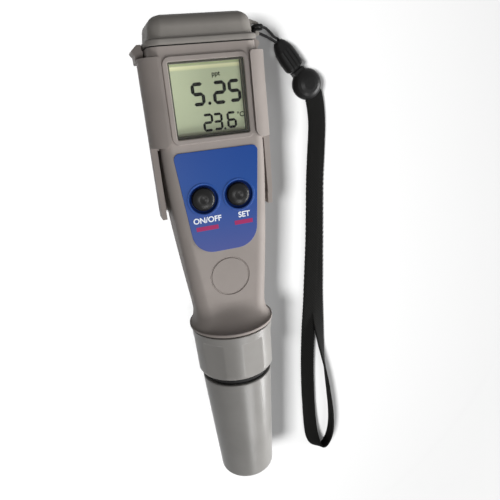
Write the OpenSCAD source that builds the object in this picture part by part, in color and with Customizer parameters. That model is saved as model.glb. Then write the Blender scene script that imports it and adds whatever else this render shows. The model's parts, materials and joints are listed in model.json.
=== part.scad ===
// Pocket conductivity tester, lying on its back.
// X runs across the tester, Y along it towards the battery cover, Z up from the resting plane.
// Y = 0 is the middle of the tester's length.

/* [Housing] */
// Length of the housing from the collar's lower face to the cover seam
body_l = 98.2; // [97:0.1:104]
// Width of the housing at the head
head_w = 35.2; // [34.6:0.1:36]
// Width of the housing at the neck
neck_w = 26; // [24:0.1:27]
// Length of the straight head, from the cover seam to the start of the taper
head_l = 35.2; // [33:0.1:38]
// Height of the front face above the resting plane
front_h = 22.6; // [22.4:0.1:23.4]
// Height of the neck's back above the resting plane
neck_back = 6; // [5:0.1:7]
// Wall thickness of the housing
wall = 1.8; // [1.5:0.1:2]
// Corner radius of the head
head_r = 3.5; // [3:0.1:4]
// Corner radius of the neck
neck_r = 5; // [4.5:0.1:5.5]
// Diameter of the round moulded mark on the front
mark_d = 14.7; // [12:0.1:16]
// Distance from the label's lower end to the middle of the round mark
mark_drop = 10.1; // [9.8:0.1:11]

/* [Window] */
// Distance from the head's side to the window opening
view_side = 5.3; // [5.2:0.1:6]
// Height of the window opening
view_h = 23.7; // [22:0.1:24]
// Width of the raised frame round the window
frame_border = 1.7; // [1.2:0.1:1.9]
// Rise of the frame above the front face
frame_rise = 0.8; // [0.6:0.1:1]
// Outer corner radius of the frame
frame_r = 2.6; // [2:0.1:3]
// Distance from the cover seam to the frame
frame_gap = 3.3; // [3.2:0.1:4]
// Thickness of the window lens
lens_t = 1; // [0.8:0.1:1.1]
// Thickness of the display panel
display_t = 1.6; // [1.4:0.1:1.7]

/* [Controls] */
// Distance from the head's side to the control label's upper corners
label_side = 3.2; // [3.1:0.1:4]
// Length of the control label
label_l = 35.2; // [33:0.1:37]
// Thickness of the control label
label_t = 0.3; // [0.2:0.05:0.4]
// Corner radius at the label's lower end
label_end_r = 7.6; // [6.5:0.1:8]
// How far each side of the label draws in towards its lower end
label_end_in = 2.6; // [2:0.1:3.2]
// Distance from the window frame to the label
label_gap = 2.5; // [2:0.1:3]
// Distance from the label's top to the button row
button_drop = 16.2; // [15:0.1:17]
// Distance between the two buttons
button_pitch = 12.4; // [12:0.1:13.4]
// Diameter of a button
button_d = 8; // [7.4:0.1:8.4]
// Rise of a button's dome above the front face
button_rise = 1.4; // [1:0.1:1.8]
// Travel of a button
button_travel = 0.8; // [0.5:0.05:0.85]
// Width of the dished ring round a button
dish_w = 0.95; // [0.8:0.05:1]
// Depth of the dished ring below the front face
dish_depth = 0.8; // [0.6:0.05:0.9]

/* [Collar, ring and probe] */
// Overhang of the collar flange beyond the threaded ring
collar_over = 0.6; // [0.5:0.05:0.8]
// Thickness of the flange's rim
flange_t = 1.1; // [0.9:0.1:1.6]
// Length of the cove that blends the neck into the flange
cove_l = 9.2; // [8:0.1:10]
// Gap that shows as a dark seam between the flange and the ring
seam_t = 0.8; // [0.5:0.1:0.9]
// Length of the threaded ring
ring_l = 18.2; // [17.8:0.1:20]
// Wall of the threaded ring at its top
ring_wall = 2.55; // [2.3:0.05:2.7]
// How far the ring's side draws in towards its lower end
ring_draw = 0.6; // [0.3:0.05:0.9]
// Number of grip flats round the ring
ring_flats = 6; // [4:1:8]
// Depth of a grip flat
flat_depth = 0.6; // [0.3:0.05:0.7]
// Running clearance of the thread and of the probe's stem, on the radius
thread_fit = 0.15; // [0.1:0.01:0.2]
// Diameter of the probe's barrel at the cap's rim
barrel_d = 23.4; // [22.8:0.1:23.6]
// Width of the probe's shoulder that the ring clamps
hold_w = 0.9; // [0.8:0.05:1.1]
// Thickness of the probe's shoulder
shoulder_t = 3.2; // [2.6:0.1:3.6]
// Diameter of the probe's sensing end
sensor_d = 17; // [15:0.1:17.6]

/* [Protective cap] */
// Length of the protective cap
cup_l = 45.9; // [43:0.1:50]
// Width of the dark groove between the ring and the protective cap
groove_l = 2.6; // [2.2:0.1:4]
// Clearance between the protective cap and the probe's barrel, on the radius
cap_fit = 0.3; // [0.25:0.05:0.5]
// Diameter of the protective cap at its closed end
cup_end_d = 21.4; // [20.8:0.1:23]
// Wall of the protective cap
cup_wall = 1.5; // [1.2:0.05:1.55]

/* [Battery cover] */
// Length of the cover above the seam
cover_l = 8.8; // [8:0.1:10]
// Thickness of the cover's lip
lip_t = 1.8; // [1.4:0.1:2.2]
// Rise of the lip above the housing's front
lip_rise = 1.5; // [1:0.1:1.8]
// Overhang of the lip at each side of the housing
lip_side = 0.3; // [0.2:0.05:0.5]
// Radius of the cover's rounded top edges
cover_r = 4; // [3.6:0.1:4.2]
// Thickness of the cover gasket
gasket_t = 0.4; // [0.3:0.05:0.6]
// Room between the head's side and the button cells, for the wall and the screw bosses
cell_side = 5.75; // [5.7:0.05:6.2]
// Height of a button cell
cell_h = 5.4; // [4.8:0.1:5.4]

/* [Rear cradle] */
// Thickness of the cradle's back plate
plate_t = 2; // [1.6:0.1:2.2]
// Clearance between the cradle and the housing
cradle_fit = 0.3; // [0.2:0.05:0.35]
// Thickness of the cradle's side walls at their bend
cradle_side = 2.9; // [2.6:0.05:3.3]
// How far each side wall leans in towards the back
cradle_lean = 1.4; // [1:0.1:1.7]
// Length of the wings that reach over the front
wing_l = 27.4; // [25:0.1:29]
// Length of the side rails below the wings
rail_l = 24.6; // [20:0.1:27]
// Height of the side rails above the resting plane
rail_h = 18; // [16:0.1:18.4]
// Outer radius of the wings
wing_r = 7; // [6:0.1:7.2]
// Thickness of the wings over the front face
wing_t = 1.3; // [1:0.1:1.5]

/* [Lanyard] */
// Diameter of the thin string
string_d = 1; // [0.8:0.1:1.1]
// Width of the wrist strap
strap_w = 6.2; // [5.6:0.1:6.4]
// Thickness of the wrist strap
strap_t = 1.1; // [0.9:0.05:1.2]
// Length of the buckle's oval half
socket_l = 11.4; // [10.8:0.1:11.6]
// Width of the buckle's oval half
socket_w = 7.4; // [7:0.1:8]
// Thickness of the buckle's oval half
socket_t = 5.6; // [5:0.1:6]
// Diameter of the buckle's round half
plug_d = 11.6; // [11:0.1:12]
// Thickness of the buckle's round half
plug_t = 6.6; // [6.4:0.1:7]

/* [Hidden] */

e = 0.01;
past = 1;
curve_fn = 64;

// Widths that follow the head and the probe's barrel
view_w = head_w - 2 * view_side;
label_w = head_w - 2 * label_side;
label_end_w = label_w - 2 * label_end_in;
cradle_w = head_w + 2 * (cradle_fit + cradle_side);
cradle_back_w = cradle_w - 2 * cradle_lean;
spigot_d = barrel_d + 2 * hold_w;
ring_d = spigot_d + 2 * (thread_fit + ring_wall);
ring_end_d = ring_d - 2 * ring_draw;
collar_d = ring_d + 2 * collar_over;
cup_d = barrel_d + 2 * (cap_fit + cup_wall);

// Places along the tester
overall_l = cup_l + groove_l + ring_l + seam_t + body_l + cover_l;
y_end = -overall_l / 2;
y_rim = y_end + cup_l;
y_ring = y_rim + groove_l;
y_ring_top = y_ring + ring_l;
y_flange = y_ring_top + seam_t;
y_seam = y_flange + body_l;
y_top = y_seam + cover_l;
y_mouth = y_seam - gasket_t;

// Heights
axis_z = collar_d / 2;
back_z = plate_t;
roof_z = front_h - wall;
frame_z = front_h + frame_rise;
floor_z = back_z + wall;

// Housing
taper_power = 1.45;
neck_len = 5;
y_taper = y_seam - head_l;
y_neck = y_flange + neck_len;
taper_steps = 8;
back_flat = 0.4;
cove_steps = 7;
edge_points = [7, 3, 5, 3];
rim_edge = 0.2;
rim_r = collar_d / 2 - rim_edge - 0.15;
rim_step = 0.05;
bulkhead_y = y_flange + flange_t;
y_cove = bulkhead_y + rim_step + cove_l;
bore_r = spigot_d / 2 - 2.2;
passage_r = 5;
cavity_end = y_neck + 1;
corner_room = 0.8;
mark_w = 0.7;
mark_depth = 0.35;

// Board and display stack
board_t = 1;
board_z = roof_z - 4.6;
board_top = board_z + board_t;
ledge = 1.3;
board_fit = 0.2;
strip_h = 0.8;
display_z = board_top + strip_h;
y_frame = y_seam - frame_gap;
y_view = y_frame - frame_border;
view_y = y_view - view_h / 2;
lens_z = frame_z - 0.4 - lens_t;
lens_gasket_t = 0.2;
lens_ledge = 0.6;
lens_fit = 0.1;
display_w = view_w - 0.6;
display_h = view_h + 1.2;
holder_wall = 0.7;

// Controls
y_label = y_frame - view_h - 2 * frame_border - label_gap;
button_y = y_label - button_drop;
mark_y = y_label - label_l - mark_drop;
button_r = button_d / 2;
button_fit = 0.1;
dish_r = button_r + button_fit + dish_w;
switch_w = 6;
switch_h = 1.5;
plunger_r = 1.15;
plunger_fit = 0.1;
switch_top = board_top + switch_h;
plunger_top = switch_top + button_travel + 0.2;
cap_flange_t = 0.7;
cap_flange_w = 0.7;
flange_play = 0.1;

// Battery cover, its screws and the battery compartment
cover_in = 0.7;
cover_draft = 0.4;
cover_front = 0.6;
cover_back = 0.4;
skirt_l = 2.6;
skirt_wall = 1.2;
skirt_gap = 0.3;
y_hollow = y_top - 2.5;
screw_r = 1;
screw_fit = 0.05;
screw_head_r = 1.5;
screw_head_t = 1.2;
screw_sink = 2.8;
screw_reach = 7;
boss_r = 1.6;
boss_l = 13;
boss_gap = 0.7;
boss_fit = 0.1;
screw_in = 3.6;
front_screw = [head_w / 2 - screw_in, roof_z - 1.3];
back_screw = [head_w / 2 - screw_in, floor_z + 2.1];
skirt_w = 2 * (head_w / 2 - screw_in - boss_r - boss_gap);
screw_places = [for (s = [-1, 1], p = [front_screw, back_screw]) [s * p[0], p[1]]];
cell_fit = 0.1;
cell_gap = 0.5;
cell_room = 0.8;
cell_d = min(head_w / 2 - cell_side - cell_gap / 2, board_z - floor_z - cell_room);
cell_x = (cell_d + cell_gap) / 2;
cell_z = floor_z + cell_d / 2 + 0.25;
tray_side = 0.75;
tray_w = 2 * (cell_d + tray_side) + cell_gap;
tray_floor = 1.2;
contact_t = 0.5;
contact_in = 1.8;
bridge_t = 0.3;
bridge_w = skirt_w - 2 * skirt_wall - 3;
bridge_h = 5;
leg_w = 3;
y_tray_top = y_seam - skirt_l - 1;
y_cells_top = y_tray_top;
y_cells = y_cells_top - 2 * cell_h;
y_tray = y_cells - contact_t - tray_floor;
tray_z0 = cell_z - cell_d / 2 + 0.75;
tray_z1 = cell_z + cell_d / 2 - 0.4;

// Cradle
wing_z = front_h + cradle_fit + wing_t;
wing_x = view_w / 2 + frame_border + 0.3;
y_wing_top = y_seam - 3.2;
y_wing_end = y_wing_top - wing_l;
y_rail_end = y_wing_end - rail_l;
rail_gap = 1;
rail_taper = 0.6;
wing_corner = 2.5;
ear_z0 = 4;
ear_z1 = 13.5;
tip_l = 4;
tip_drop = 0.6;

// Ring and probe
ring_lip_t = 2;
ring_edge = 1.6;
flat_drop = 2.7;
gasket_h = 1;
y_ring_lip = y_ring + ring_lip_t;
y_shoulder = y_ring_lip + shoulder_t;
y_spigot = y_shoulder + gasket_h;
stem_r = bore_r - thread_fit;
shoulder_r = spigot_d / 2 - 0.1;
barrel_r = barrel_d / 2;
barrel_l = 11;
barrel_taper = 0.8;
tip_gap = 8;
well_r = sensor_d / 2 - 2;
well_depth = 5;
socket_l_plug = 8.2;
plug_room = 1.5;
y_stem = bulkhead_y - socket_l_plug - plug_room;
pin_r = 0.5;
pin_ring_r = 4.5;
pin_count = 5;
pin_l = 5;
lead_r = 0.4;
lead_pitch = 2;
lead_end = cavity_end + 5;
passage_z = board_z - 0.3;
stem_ring_r = 0.75;
stem_ring_y = y_shoulder + 3.5;
stem_groove = 1.45;
barrel_ring_r = 0.72;
barrel_ring_y = y_rim - 3.4;
barrel_groove = 1.4;
groove_half = 0.8;
ring_touch = 0.02;
cup_slope = (cup_d - cup_end_d) / 2 / cup_l;
barrel_ring_out = cup_d / 2 - cup_wall + cup_slope * (barrel_ring_y - y_rim) - ring_touch;
seal_gap = 0.25;

// Lug for the lanyard string
lug_z = 14.1;
lug_t = 1.8;
lug_bar = 1.3;
lug_hole_x = head_w / 2 + 0.6;
lug_hole_w = 1.4;
lug_x = lug_hole_x + lug_hole_w + lug_bar;
lug_hole_y = y_seam + 2.2;
lug_hole_l = 3;

// Lanyard: the places are where it lies beside the tester
socket_at = [35.2, 74, 3.1];
lanyard_turn = -56;
plug_gap = 2.2;
tongue_w = 3.6;
tongue_t = 1.8;
tongue_l = 7.5;
plug_at = [socket_at[0] + (socket_l / 2 + plug_gap + plug_d / 2 - 0.6) * cos(lanyard_turn),
    socket_at[1] + (socket_l / 2 + plug_gap + plug_d / 2 - 0.6) * sin(lanyard_turn), plug_t / 2 + 0.1];
string_route = [[32.9, 78.4, 3.2], [32.2, 79.5, 3.3], [31, 80, 4.1], [29.6, 80.5, 5.6], [28.1, 81.2, 7.5],
    [25.6, 82.5, 10], [23.6, 82.9, 12], [22.3, 83, 14.2], [21.9, 82.95, 15.6], [21.1, 82.9, 16.7],
    [19.4, 82.8, 16.7], [18.9, 82.7, 15.6], [18.9, 82.5, 14.4], [19.3, 82.3, 13.3], [21, 82.1, 13.3],
    [21.65, 82, 14.1], [21.65, 81.9, 15.9], [21, 81.8, 16.7], [19.3, 81.7, 16.7], [18.9, 81.6, 15.6],
    [18.9, 81.4, 14.4], [19.4, 81.2, 13.2], [21.2, 81, 12.6], [22.9, 80.8, 11.2], [24.6, 80.4, 9.9],
    [26.4, 79.9, 8.5], [28.8, 79.2, 6.2], [30.6, 78.6, 4.6], [31.6, 78.2, 3.6], [32.1, 77.8, 3.2]];
// Each point of the strap is its place and its roll about its own line
strap_route = [[46, 60, 2.2, 0], [47.2, 55, 1.3, 0], [47.6, 48, 0.75, 0], [46.8, 38, 0.75, 0],
    [45.6, 26, 0.75, 0], [44.8, 13, 0.75, 0], [44.1, 0, 0.75, 0], [43.4, -13, 0.75, 0],
    [42.8, -25, 1.1, 8], [42.6, -36, 1.85, 22], [42.9, -46, 2.65, 42], [43.6, -56, 3.15, 62],
    [44.6, -66, 3.3, 76], [45.4, -76, 3.4, 82], [45.9, -85, 3.4, 84], [45.6, -93, 3.4, 84],
    [44.2, -99, 3.4, 82], [41.8, -102.8, 3.3, 76], [39.2, -103.4, 3.2, 64], [37, -101, 2.8, 46],
    [35.8, -96, 2.3, 24], [35.4, -89, 2, 8], [35.3, -81, 1.9, 0], [35.4, -72, 1.9, 0],
    [35.7, -62, 2, 0], [36.4, -51, 2.1, 0], [37.5, -39, 2.2, 0], [38.9, -27, 2.3, 0],
    [40.2, -14, 2.4, 0], [41.5, -1, 2.5, 0], [42.5, 12, 2.6, 0], [43.4, 25, 2.7, 0],
    [44.6, 37, 2.8, 0], [45.6, 47, 3, 0], [45.3, 54, 3.4, 0], [44.2, 59.5, 3.9, 0]];

// Half width of the housing at a height along it
function taper_t(y) = max(0, min(1, (y_taper - y) / (y_taper - y_neck)));
function half_w(y) = head_w / 2 - (head_w - neck_w) / 2 * pow(taper_t(y), taper_power);
function inner_w(y) = half_w(y) - wall - corner_room * taper_t(y);
function back_at(y) = back_z + (neck_back - back_z) * max(0, (taper_t(y) - back_flat) / (1 - back_flat));
function corner_at(y) = head_r + (neck_r - head_r) * taper_t(y);
taper_ys = [for (i = [taper_steps : -1 : 0]) y_taper - (y_taper - y_neck) * i / taper_steps];

// Share of the way from the neck's outline to the flange's circle, and its place along Y
function cove_share(i) = 1 - cos(90 * i / cove_steps);
function cove_y(i) = y_cove - cove_l * sin(90 * i / cove_steps);

// Points of an arc about a centre, from one angle to another
function arc(cx, cy, r, a0, a1, n = 8) = [for (i = [0 : n]) let (a = a0 + (a1 - a0) * i / n)
    [cx + r * cos(a), cy + r * sin(a)]];

// Rounded rectangle, symmetric about the first axis's zero, between two heights
function rounded(hw, z0, z1, r, n = 6) = concat(arc(hw - r, z1 - r, r, 0, 90, n),
    arc(-hw + r, z1 - r, r, 90, 180, n), arc(-hw + r, z0 + r, r, 180, 270, n),
    arc(hw - r, z0 + r, r, 270, 360, n));

// Points between two others, evenly spaced
function between(a, b, n) = [for (i = [1 : n]) a + (b - a) * i / (n + 1)];

// Outline of the housing at a place along Y, with points along its straight edges too
function outline_at(y) = let (p = rounded(half_w(y), back_at(y), front_h, corner_at(y)))
    [for (c = [0 : 3]) each concat([for (k = [0 : 6]) p[7 * c + k]],
        between(p[7 * c + 6], p[(7 * c + 7) % 28], edge_points[c]))];

// The same outline spread towards the flange's circle by a share
function flared(y, share) = [for (p = outline_at(y)) let (v = [p[0], p[1] - axis_z])
    p + (v / norm(v) * rim_r - v) * share];

function heights(outline) = [for (p = outline) p[1]];
function centre_height(outline) = (min(heights(outline)) + max(heights(outline))) / 2;

// Solid through sections of equal point count, each a place along Y and its points across X and Z.
// Its ends are fans about the middle.
module loft(sections) {
    n = len(sections[0][1]);
    last = len(sections) - 1;
    middle = (last + 1) * n;
    points = concat([for (s = sections, p = s[1]) [p[0], s[0], p[1]]],
        [for (i = [0, last]) [0, sections[i][0], centre_height(sections[i][1])]]);
    sides = [for (i = [0 : last - 1], j = [0 : n - 1]) let (k = (j + 1) % n)
        each [[i * n + j, i * n + k, (i + 1) * n + k], [i * n + j, (i + 1) * n + k, (i + 1) * n + j]]];
    ends = [for (j = [0 : n - 1]) let (k = (j + 1) % n)
        each [[k, j, middle], [last * n + j, last * n + k, middle + 1]]];
    polyhedron(points = points, faces = concat(sides, ends), convexity = 4);
}

// Extrudes an outline across X and Z along Y
module along_y(y0, y1) {
    translate([0, y1, 0]) rotate([90, 0, 0]) linear_extrude(y1 - y0) children();
}

// Extrudes an outline across X and Y upwards
module up(z0, z1) {
    translate([0, 0, z0]) linear_extrude(z1 - z0) children();
}

// Places a shape turned about local Z on the collar's axis, its local Z along the tester's Y
module on_axis() {
    translate([0, 0, axis_z]) rotate([-90, 0, 0]) children();
}

module turned(profile) {
    on_axis() rotate_extrude($fn = curve_fn) polygon(profile);
}

// Straight shaft on a line parallel to Y
module shaft_y(x, z, y0, y1, r) {
    translate([x, y1, z]) rotate([90, 0, 0]) cylinder(h = y1 - y0, r = r, $fn = 32);
}

module at_screws() {
    for (p = screw_places) translate([p[0], 0, p[1]]) children();
}

module at_buttons() {
    for (s = [-1, 1]) translate([s * button_pitch / 2, button_y, 0]) children();
}

// Outline of the housing's cavity seen from the front, between two places along Y
module cavity_outline(y0, y1, inset) {
    ys = concat([for (y = taper_ys) if (y > y0 && y < y1) y], [y1]);
    right = concat([[inner_w(y0) - inset, y0]], [for (y = ys) [inner_w(y) - inset, y]]);
    left = [for (i = [len(right) - 1 : -1 : 0]) [-right[i][0], right[i][1]]];
    polygon(concat(right, left));
}

module housing_shell() {
    straight_ys = concat([for (y = taper_ys) if (y > y_cove + 1) y], [y_mouth]);
    loft(concat([[y_flange + flange_t / 2, flared(bulkhead_y, 1)]],
        [for (i = [cove_steps : -1 : 0]) [cove_y(i), flared(cove_y(i), cove_share(i))]],
        [for (y = straight_ys) [y, outline_at(y)]]));
    turned([[0, y_flange], [collar_d / 2 - 0.3, y_flange], [collar_d / 2, y_flange + 0.3],
        [collar_d / 2, bulkhead_y - rim_edge], [collar_d / 2 - rim_edge, bulkhead_y], [0, bulkhead_y]]);
    turned([[0, y_spigot], [spigot_d / 2 - 0.4, y_spigot], [spigot_d / 2, y_spigot + 0.4],
        [spigot_d / 2, y_flange + e], [0, y_flange + e]]);
}

module window_frame() {
    hw = view_w / 2 + frame_border;
    y0 = y_view - view_h - frame_border;
    up(front_h - 0.5, frame_z - 0.3) polygon(rounded(hw, y0, y_frame, frame_r));
    up(frame_z - 0.3 - e, frame_z) polygon(rounded(hw - 0.25, y0 + 0.25, y_frame - 0.25, frame_r - 0.25));
}

module housing_hollows() {
    up(board_z, roof_z) cavity_outline(cavity_end, y_seam + 1, 0);
    y_low = y_taper - back_flat * (y_taper - y_neck);
    up(floor_z, board_z + e) cavity_outline(y_low, y_seam + 1, ledge);
    up(neck_back + wall, board_z + e) cavity_outline(cavity_end, y_low + e, ledge);
    turned([[0, y_spigot - 1], [bore_r, y_spigot - 1], [bore_r, bulkhead_y], [0, bulkhead_y]]);
    shaft_y(0, passage_z, bulkhead_y - e, cavity_end + 1, passage_r);
}

module front_cuts() {
    translate([-view_w / 2, y_view - view_h, lens_z - lens_gasket_t])
        cube([view_w, view_h, frame_z - lens_z + lens_gasket_t + past]);
    translate([-view_w / 2 + lens_ledge, y_view - view_h + lens_ledge, roof_z - past])
        cube([view_w - 2 * lens_ledge, view_h - 2 * lens_ledge, lens_z - roof_z + past]);
    at_buttons() {
        translate([0, 0, roof_z - past]) cylinder(h = wall + 2 * past, r = button_r + button_fit,
            $fn = curve_fn);
        translate([0, 0, front_h - dish_depth]) cylinder(h = dish_depth + past, r = dish_r, $fn = curve_fn);
    }
    translate([0, mark_y, front_h - mark_depth]) rotate_extrude($fn = curve_fn)
        translate([mark_d / 2 - mark_w / 2, 0]) square([mark_w, 1]);
}

module main_housing() color("#a39d97") difference() {
    union() {
        difference() {
            union() {
                housing_shell();
                window_frame();
            }
            housing_hollows();
        }
        at_screws() shaft_y(0, 0, y_mouth - boss_l, y_mouth, boss_r);
    }
    front_cuts();
    at_screws() shaft_y(0, 0, y_mouth - screw_reach - 1, y_mouth + 1, screw_r + screw_fit);
}

// Half of the cradle's cross-section, mirrored for the other side. Both arcs end at the wing's edge.
function stop_angle(cx, r) = acos(max(0, min(1, (wing_x - cx) / r)));
function cradle_half() = let (outer_x = cradle_w / 2 - wing_r, inner_x = head_w / 2 - head_r,
    inner_r = head_r + cradle_fit) concat(
    arc(cradle_back_w / 2 - 1.5, 1.5, 1.5, 270, 360, 4),
    arc(outer_x, wing_z - wing_r, wing_r, 0, stop_angle(outer_x, wing_r), 10),
    wing_x < outer_x ? [[wing_x, wing_z]] : [],
    wing_x < inner_x ? [[wing_x, front_h + cradle_fit]] : [],
    arc(inner_x, front_h - head_r, inner_r, stop_angle(inner_x, inner_r), 0, 6),
    [[head_w / 2 + cradle_fit, plate_t]]);

module cradle_section() {
    half = cradle_half();
    polygon(concat(half, [for (i = [len(half) - 1 : -1 : 0]) [-half[i][0], half[i][1]]]));
}

// Front outline of one wing
module wing_outline() {
    w = cradle_w / 2 + 1;
    polygon(concat([[w, y_wing_end], [w, y_wing_top]], arc(wing_x + 1, y_wing_top - 1, 1, 90, 180, 4),
        arc(wing_x + wing_corner, y_wing_end + wing_corner, wing_corner, 180, 270, 6)));
}

// Front outline of the back plate with its rails
module rail_outline() {
    w = cradle_w / 2;
    polygon([[w, y_wing_top], [w, y_wing_end], [w - rail_taper, y_rail_end],
        [-w + rail_taper, y_rail_end], [-w, y_wing_end], [-w, y_wing_top]]);
}

module ear() {
    w = cradle_w / 2;
    inner = head_w / 2 + cradle_fit + 0.1;
    outer = head_w / 2 + lip_side + 0.4;
    up(ear_z0, ear_z1) polygon([[inner, y_wing_top - 1], [w - 0.2, y_wing_top - 1], [w - 0.1, y_seam - 1.9],
        [w + 0.8, y_seam - 0.6], [w + 0.5, y_seam], [w - 1.1, y_seam + 1.4], [outer, y_seam + 1.4],
        [outer, y_seam - 0.5], [inner, y_seam - 0.5]]);
}

module rear_cradle() color("#9c968f") difference() {
    union() {
        intersection() {
            along_y(y_rail_end, y_wing_top) cradle_section();
            union() {
                up(-1, rail_h) rail_outline();
                up(rail_h - e, wing_z + 1) {
                    wing_outline();
                    mirror([1, 0]) wing_outline();
                }
            }
        }
        ear();
        mirror([1, 0, 0]) ear();
    }
    for (s = [0, 1]) mirror([s, 0, 0]) {
        inner = head_w / 2 + cradle_fit;
        translate([inner - 1, y_rail_end - 1, plate_t]) cube([1 + rail_gap - cradle_fit, rail_l, wing_z]);
        translate([inner, y_rail_end - 1, rail_h - tip_drop]) cube([wing_r, 1 + tip_l, wing_z]);
    }
}

module window_lens() color("#e8eef0", 0.35) {
    translate([-view_w / 2 + lens_fit, y_view - view_h + lens_fit, lens_z])
        cube([view_w - 2 * lens_fit, view_h - 2 * lens_fit, lens_t]);
}

module lens_gasket() color("#1d1d1f") difference() {
    translate([-view_w / 2 + lens_fit, y_view - view_h + lens_fit, lens_z - lens_gasket_t])
        cube([view_w - 2 * lens_fit, view_h - 2 * lens_fit, lens_gasket_t]);
    translate([-view_w / 2 + lens_ledge, y_view - view_h + lens_ledge, lens_z - lens_gasket_t - past])
        cube([view_w - 2 * lens_ledge, view_h - 2 * lens_ledge, lens_gasket_t + 2 * past]);
}

module display_panel() color("#9aa37c") {
    translate([-display_w / 2, view_y - display_h / 2, display_z]) cube([display_w, display_h, display_t]);
}

module display_holder() color("#2a2a2c") difference() {
    w = display_w + 2 * holder_wall;
    h = display_h + 2 * holder_wall;
    translate([-w / 2, view_y - h / 2, board_top]) cube([w, h, roof_z - board_top - 0.1]);
    translate([-display_w / 2, view_y - display_h / 2, board_top - past])
        cube([display_w, display_h, past + strip_h + display_t]);
    translate([-view_w / 2 + lens_ledge, view_y - view_h / 2 + lens_ledge, board_top])
        cube([view_w - 2 * lens_ledge, view_h - 2 * lens_ledge, roof_z - board_top + past]);
    at_screws() shaft_y(0, 0, y_mouth - boss_l - boss_fit, y_seam, boss_r + boss_fit);
}

module contact_strips() color("#3a3a3c") {
    strip_w = 2;
    for (s = [-1, 1]) translate([-display_w / 2 + 1, view_y + s * (display_h / 2 - strip_w / 2 - 0.3)
        - strip_w / 2, board_top]) cube([display_w - 2, strip_w, strip_h]);
}

// Outline of the control label, wide at the top and round at the lower end
module label_outline() {
    top_r = 2;
    w = label_w / 2;
    end_w = label_end_w / 2;
    y0 = y_label - label_l;
    lean = atan((w - end_w) / (label_l - label_end_r - top_r));
    polygon(concat(arc(w - top_r, y_label - top_r, top_r, -lean, 90, 6),
        arc(-w + top_r, y_label - top_r, top_r, 90, 180 + lean, 6),
        arc(-end_w + label_end_r, y0 + label_end_r, label_end_r, 180 + lean, 270, 8),
        arc(end_w - label_end_r, y0 + label_end_r, label_end_r, 270, 360 - lean, 8)));
}

module control_label() color("#2f4fa3") difference() {
    union() {
        up(front_h, front_h + label_t) label_outline();
        at_buttons() translate([0, 0, front_h - dish_depth])
            cylinder(h = dish_depth + label_t, r = dish_r - 0.05, $fn = curve_fn);
    }
    at_buttons() {
        translate([0, 0, front_h - dish_depth + 0.3]) cylinder(h = dish_depth + past, r = dish_r - 0.3,
            $fn = curve_fn);
        translate([0, 0, roof_z]) cylinder(h = wall + past, r = button_r + button_fit, $fn = curve_fn);
    }
}

module main_board() color("#1f6b3a") {
    y_board_top = y_seam - skirt_l - 0.8;
    y_step = y_mouth - boss_l - 0.5;
    up(board_z, board_top) {
        cavity_outline(cavity_end + 2, y_step, board_fit);
        end_w = 2 * (front_screw[0] - boss_r - 0.3);
        translate([-end_w / 2, y_step - e]) square([end_w, y_board_top - y_step]);
    }
}

// Chips and passive parts under the board: middle, length, width, height. They lie in the middle of the
// taper, by the buttons, by the leads' end and by the display.
y_middle = (y_taper + y_neck) / 2;
component_list = [[0, y_middle - 2.25, 9, 9, 1.2], [-7, button_y + 4.65, 6, 5, 1.3],
    [7, button_y + 3.65, 4, 5, 1.2], [0, lead_end + 4.75, 5, 4, 1.2], [-6, y_label + 2.45, 3, 1.6, 0.9],
    [-2, y_label + 2.45, 3, 1.6, 0.9], [3, y_label + 1.45, 7, 3, 2]];

module board_components() color("#222224") {
    for (c = component_list) translate([c[0] - c[2] / 2, c[1] - c[3] / 2, board_z - c[4]])
        cube([c[2], c[3], c[4]]);
}

module tact_switches() color("#3b3b3e") at_buttons() difference() {
    translate([-switch_w / 2, -switch_w / 2, board_top]) cube([switch_w, switch_w, switch_h]);
    translate([0, 0, board_top - 1]) cylinder(h = switch_h + 2, r = plunger_r + plunger_fit, $fn = 32);
}

module plunger() {
    translate([0, 0, board_top + button_travel + 0.05])
        cylinder(h = plunger_top - board_top - button_travel - 0.05, r = plunger_r, $fn = 32);
}

// Rubber button: a domed cap with a retaining flange under the front wall
module button() {
    dome_z = front_h + 0.1;
    rise = button_rise - 0.1;
    dome_r = (button_r * button_r + rise * rise) / (2 * rise);
    translate([0, 0, plunger_top]) cylinder(h = 1, r = 1.6, $fn = 32);
    flange_z = roof_z - flange_play - cap_flange_t;
    translate([0, 0, flange_z]) cylinder(h = cap_flange_t, r = button_r + cap_flange_w, $fn = curve_fn);
    translate([0, 0, flange_z]) cylinder(h = dome_z - flange_z, r = button_r, $fn = curve_fn);
    intersection() {
        translate([0, 0, dome_z - e]) cylinder(h = rise + 1, r = button_r, $fn = curve_fn);
        translate([0, 0, dome_z + rise - dome_r]) sphere(r = dome_r, $fn = curve_fn);
    }
}

module power_plunger() color("#8d8d90") translate([-button_pitch / 2, button_y, 0]) plunger();
module set_plunger() color("#8d8d90") translate([button_pitch / 2, button_y, 0]) plunger();
module power_button() color("#161618") translate([-button_pitch / 2, button_y, 0]) button();
module set_button() color("#161618") translate([button_pitch / 2, button_y, 0]) button();

module battery_tray() color("#55555a") difference() {
    union() {
        translate([-tray_w / 2, y_tray, tray_z0]) cube([tray_w, y_tray_top - y_tray, tray_z1 - tray_z0]);
        for (s = [-1, 1]) translate([s * (tray_w / 2 - 0.6) - 0.6, y_tray, floor_z])
            cube([1.2, y_tray_top - y_tray, tray_z0 - floor_z + e]);
    }
    for (s = [-1, 1]) shaft_y(s * cell_x, cell_z, y_cells - contact_t, y_tray_top + 1, cell_d / 2 + cell_fit);
    at_screws() shaft_y(0, 0, y_tray - 1, y_tray_top + 1, boss_r + 0.3);
}

module button_cells() color("#c9c9cc") {
    for (s = [-1, 1], k = [0, 1]) {
        y = y_cells + k * cell_h;
        shaft_y(s * cell_x, cell_z, y, y + cell_h - 0.6, cell_d / 2);
        shaft_y(s * cell_x, cell_z, y + cell_h - 0.6 - e, y + cell_h - 2 * e, cell_d / 2 - 1.2);
    }
}

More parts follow.
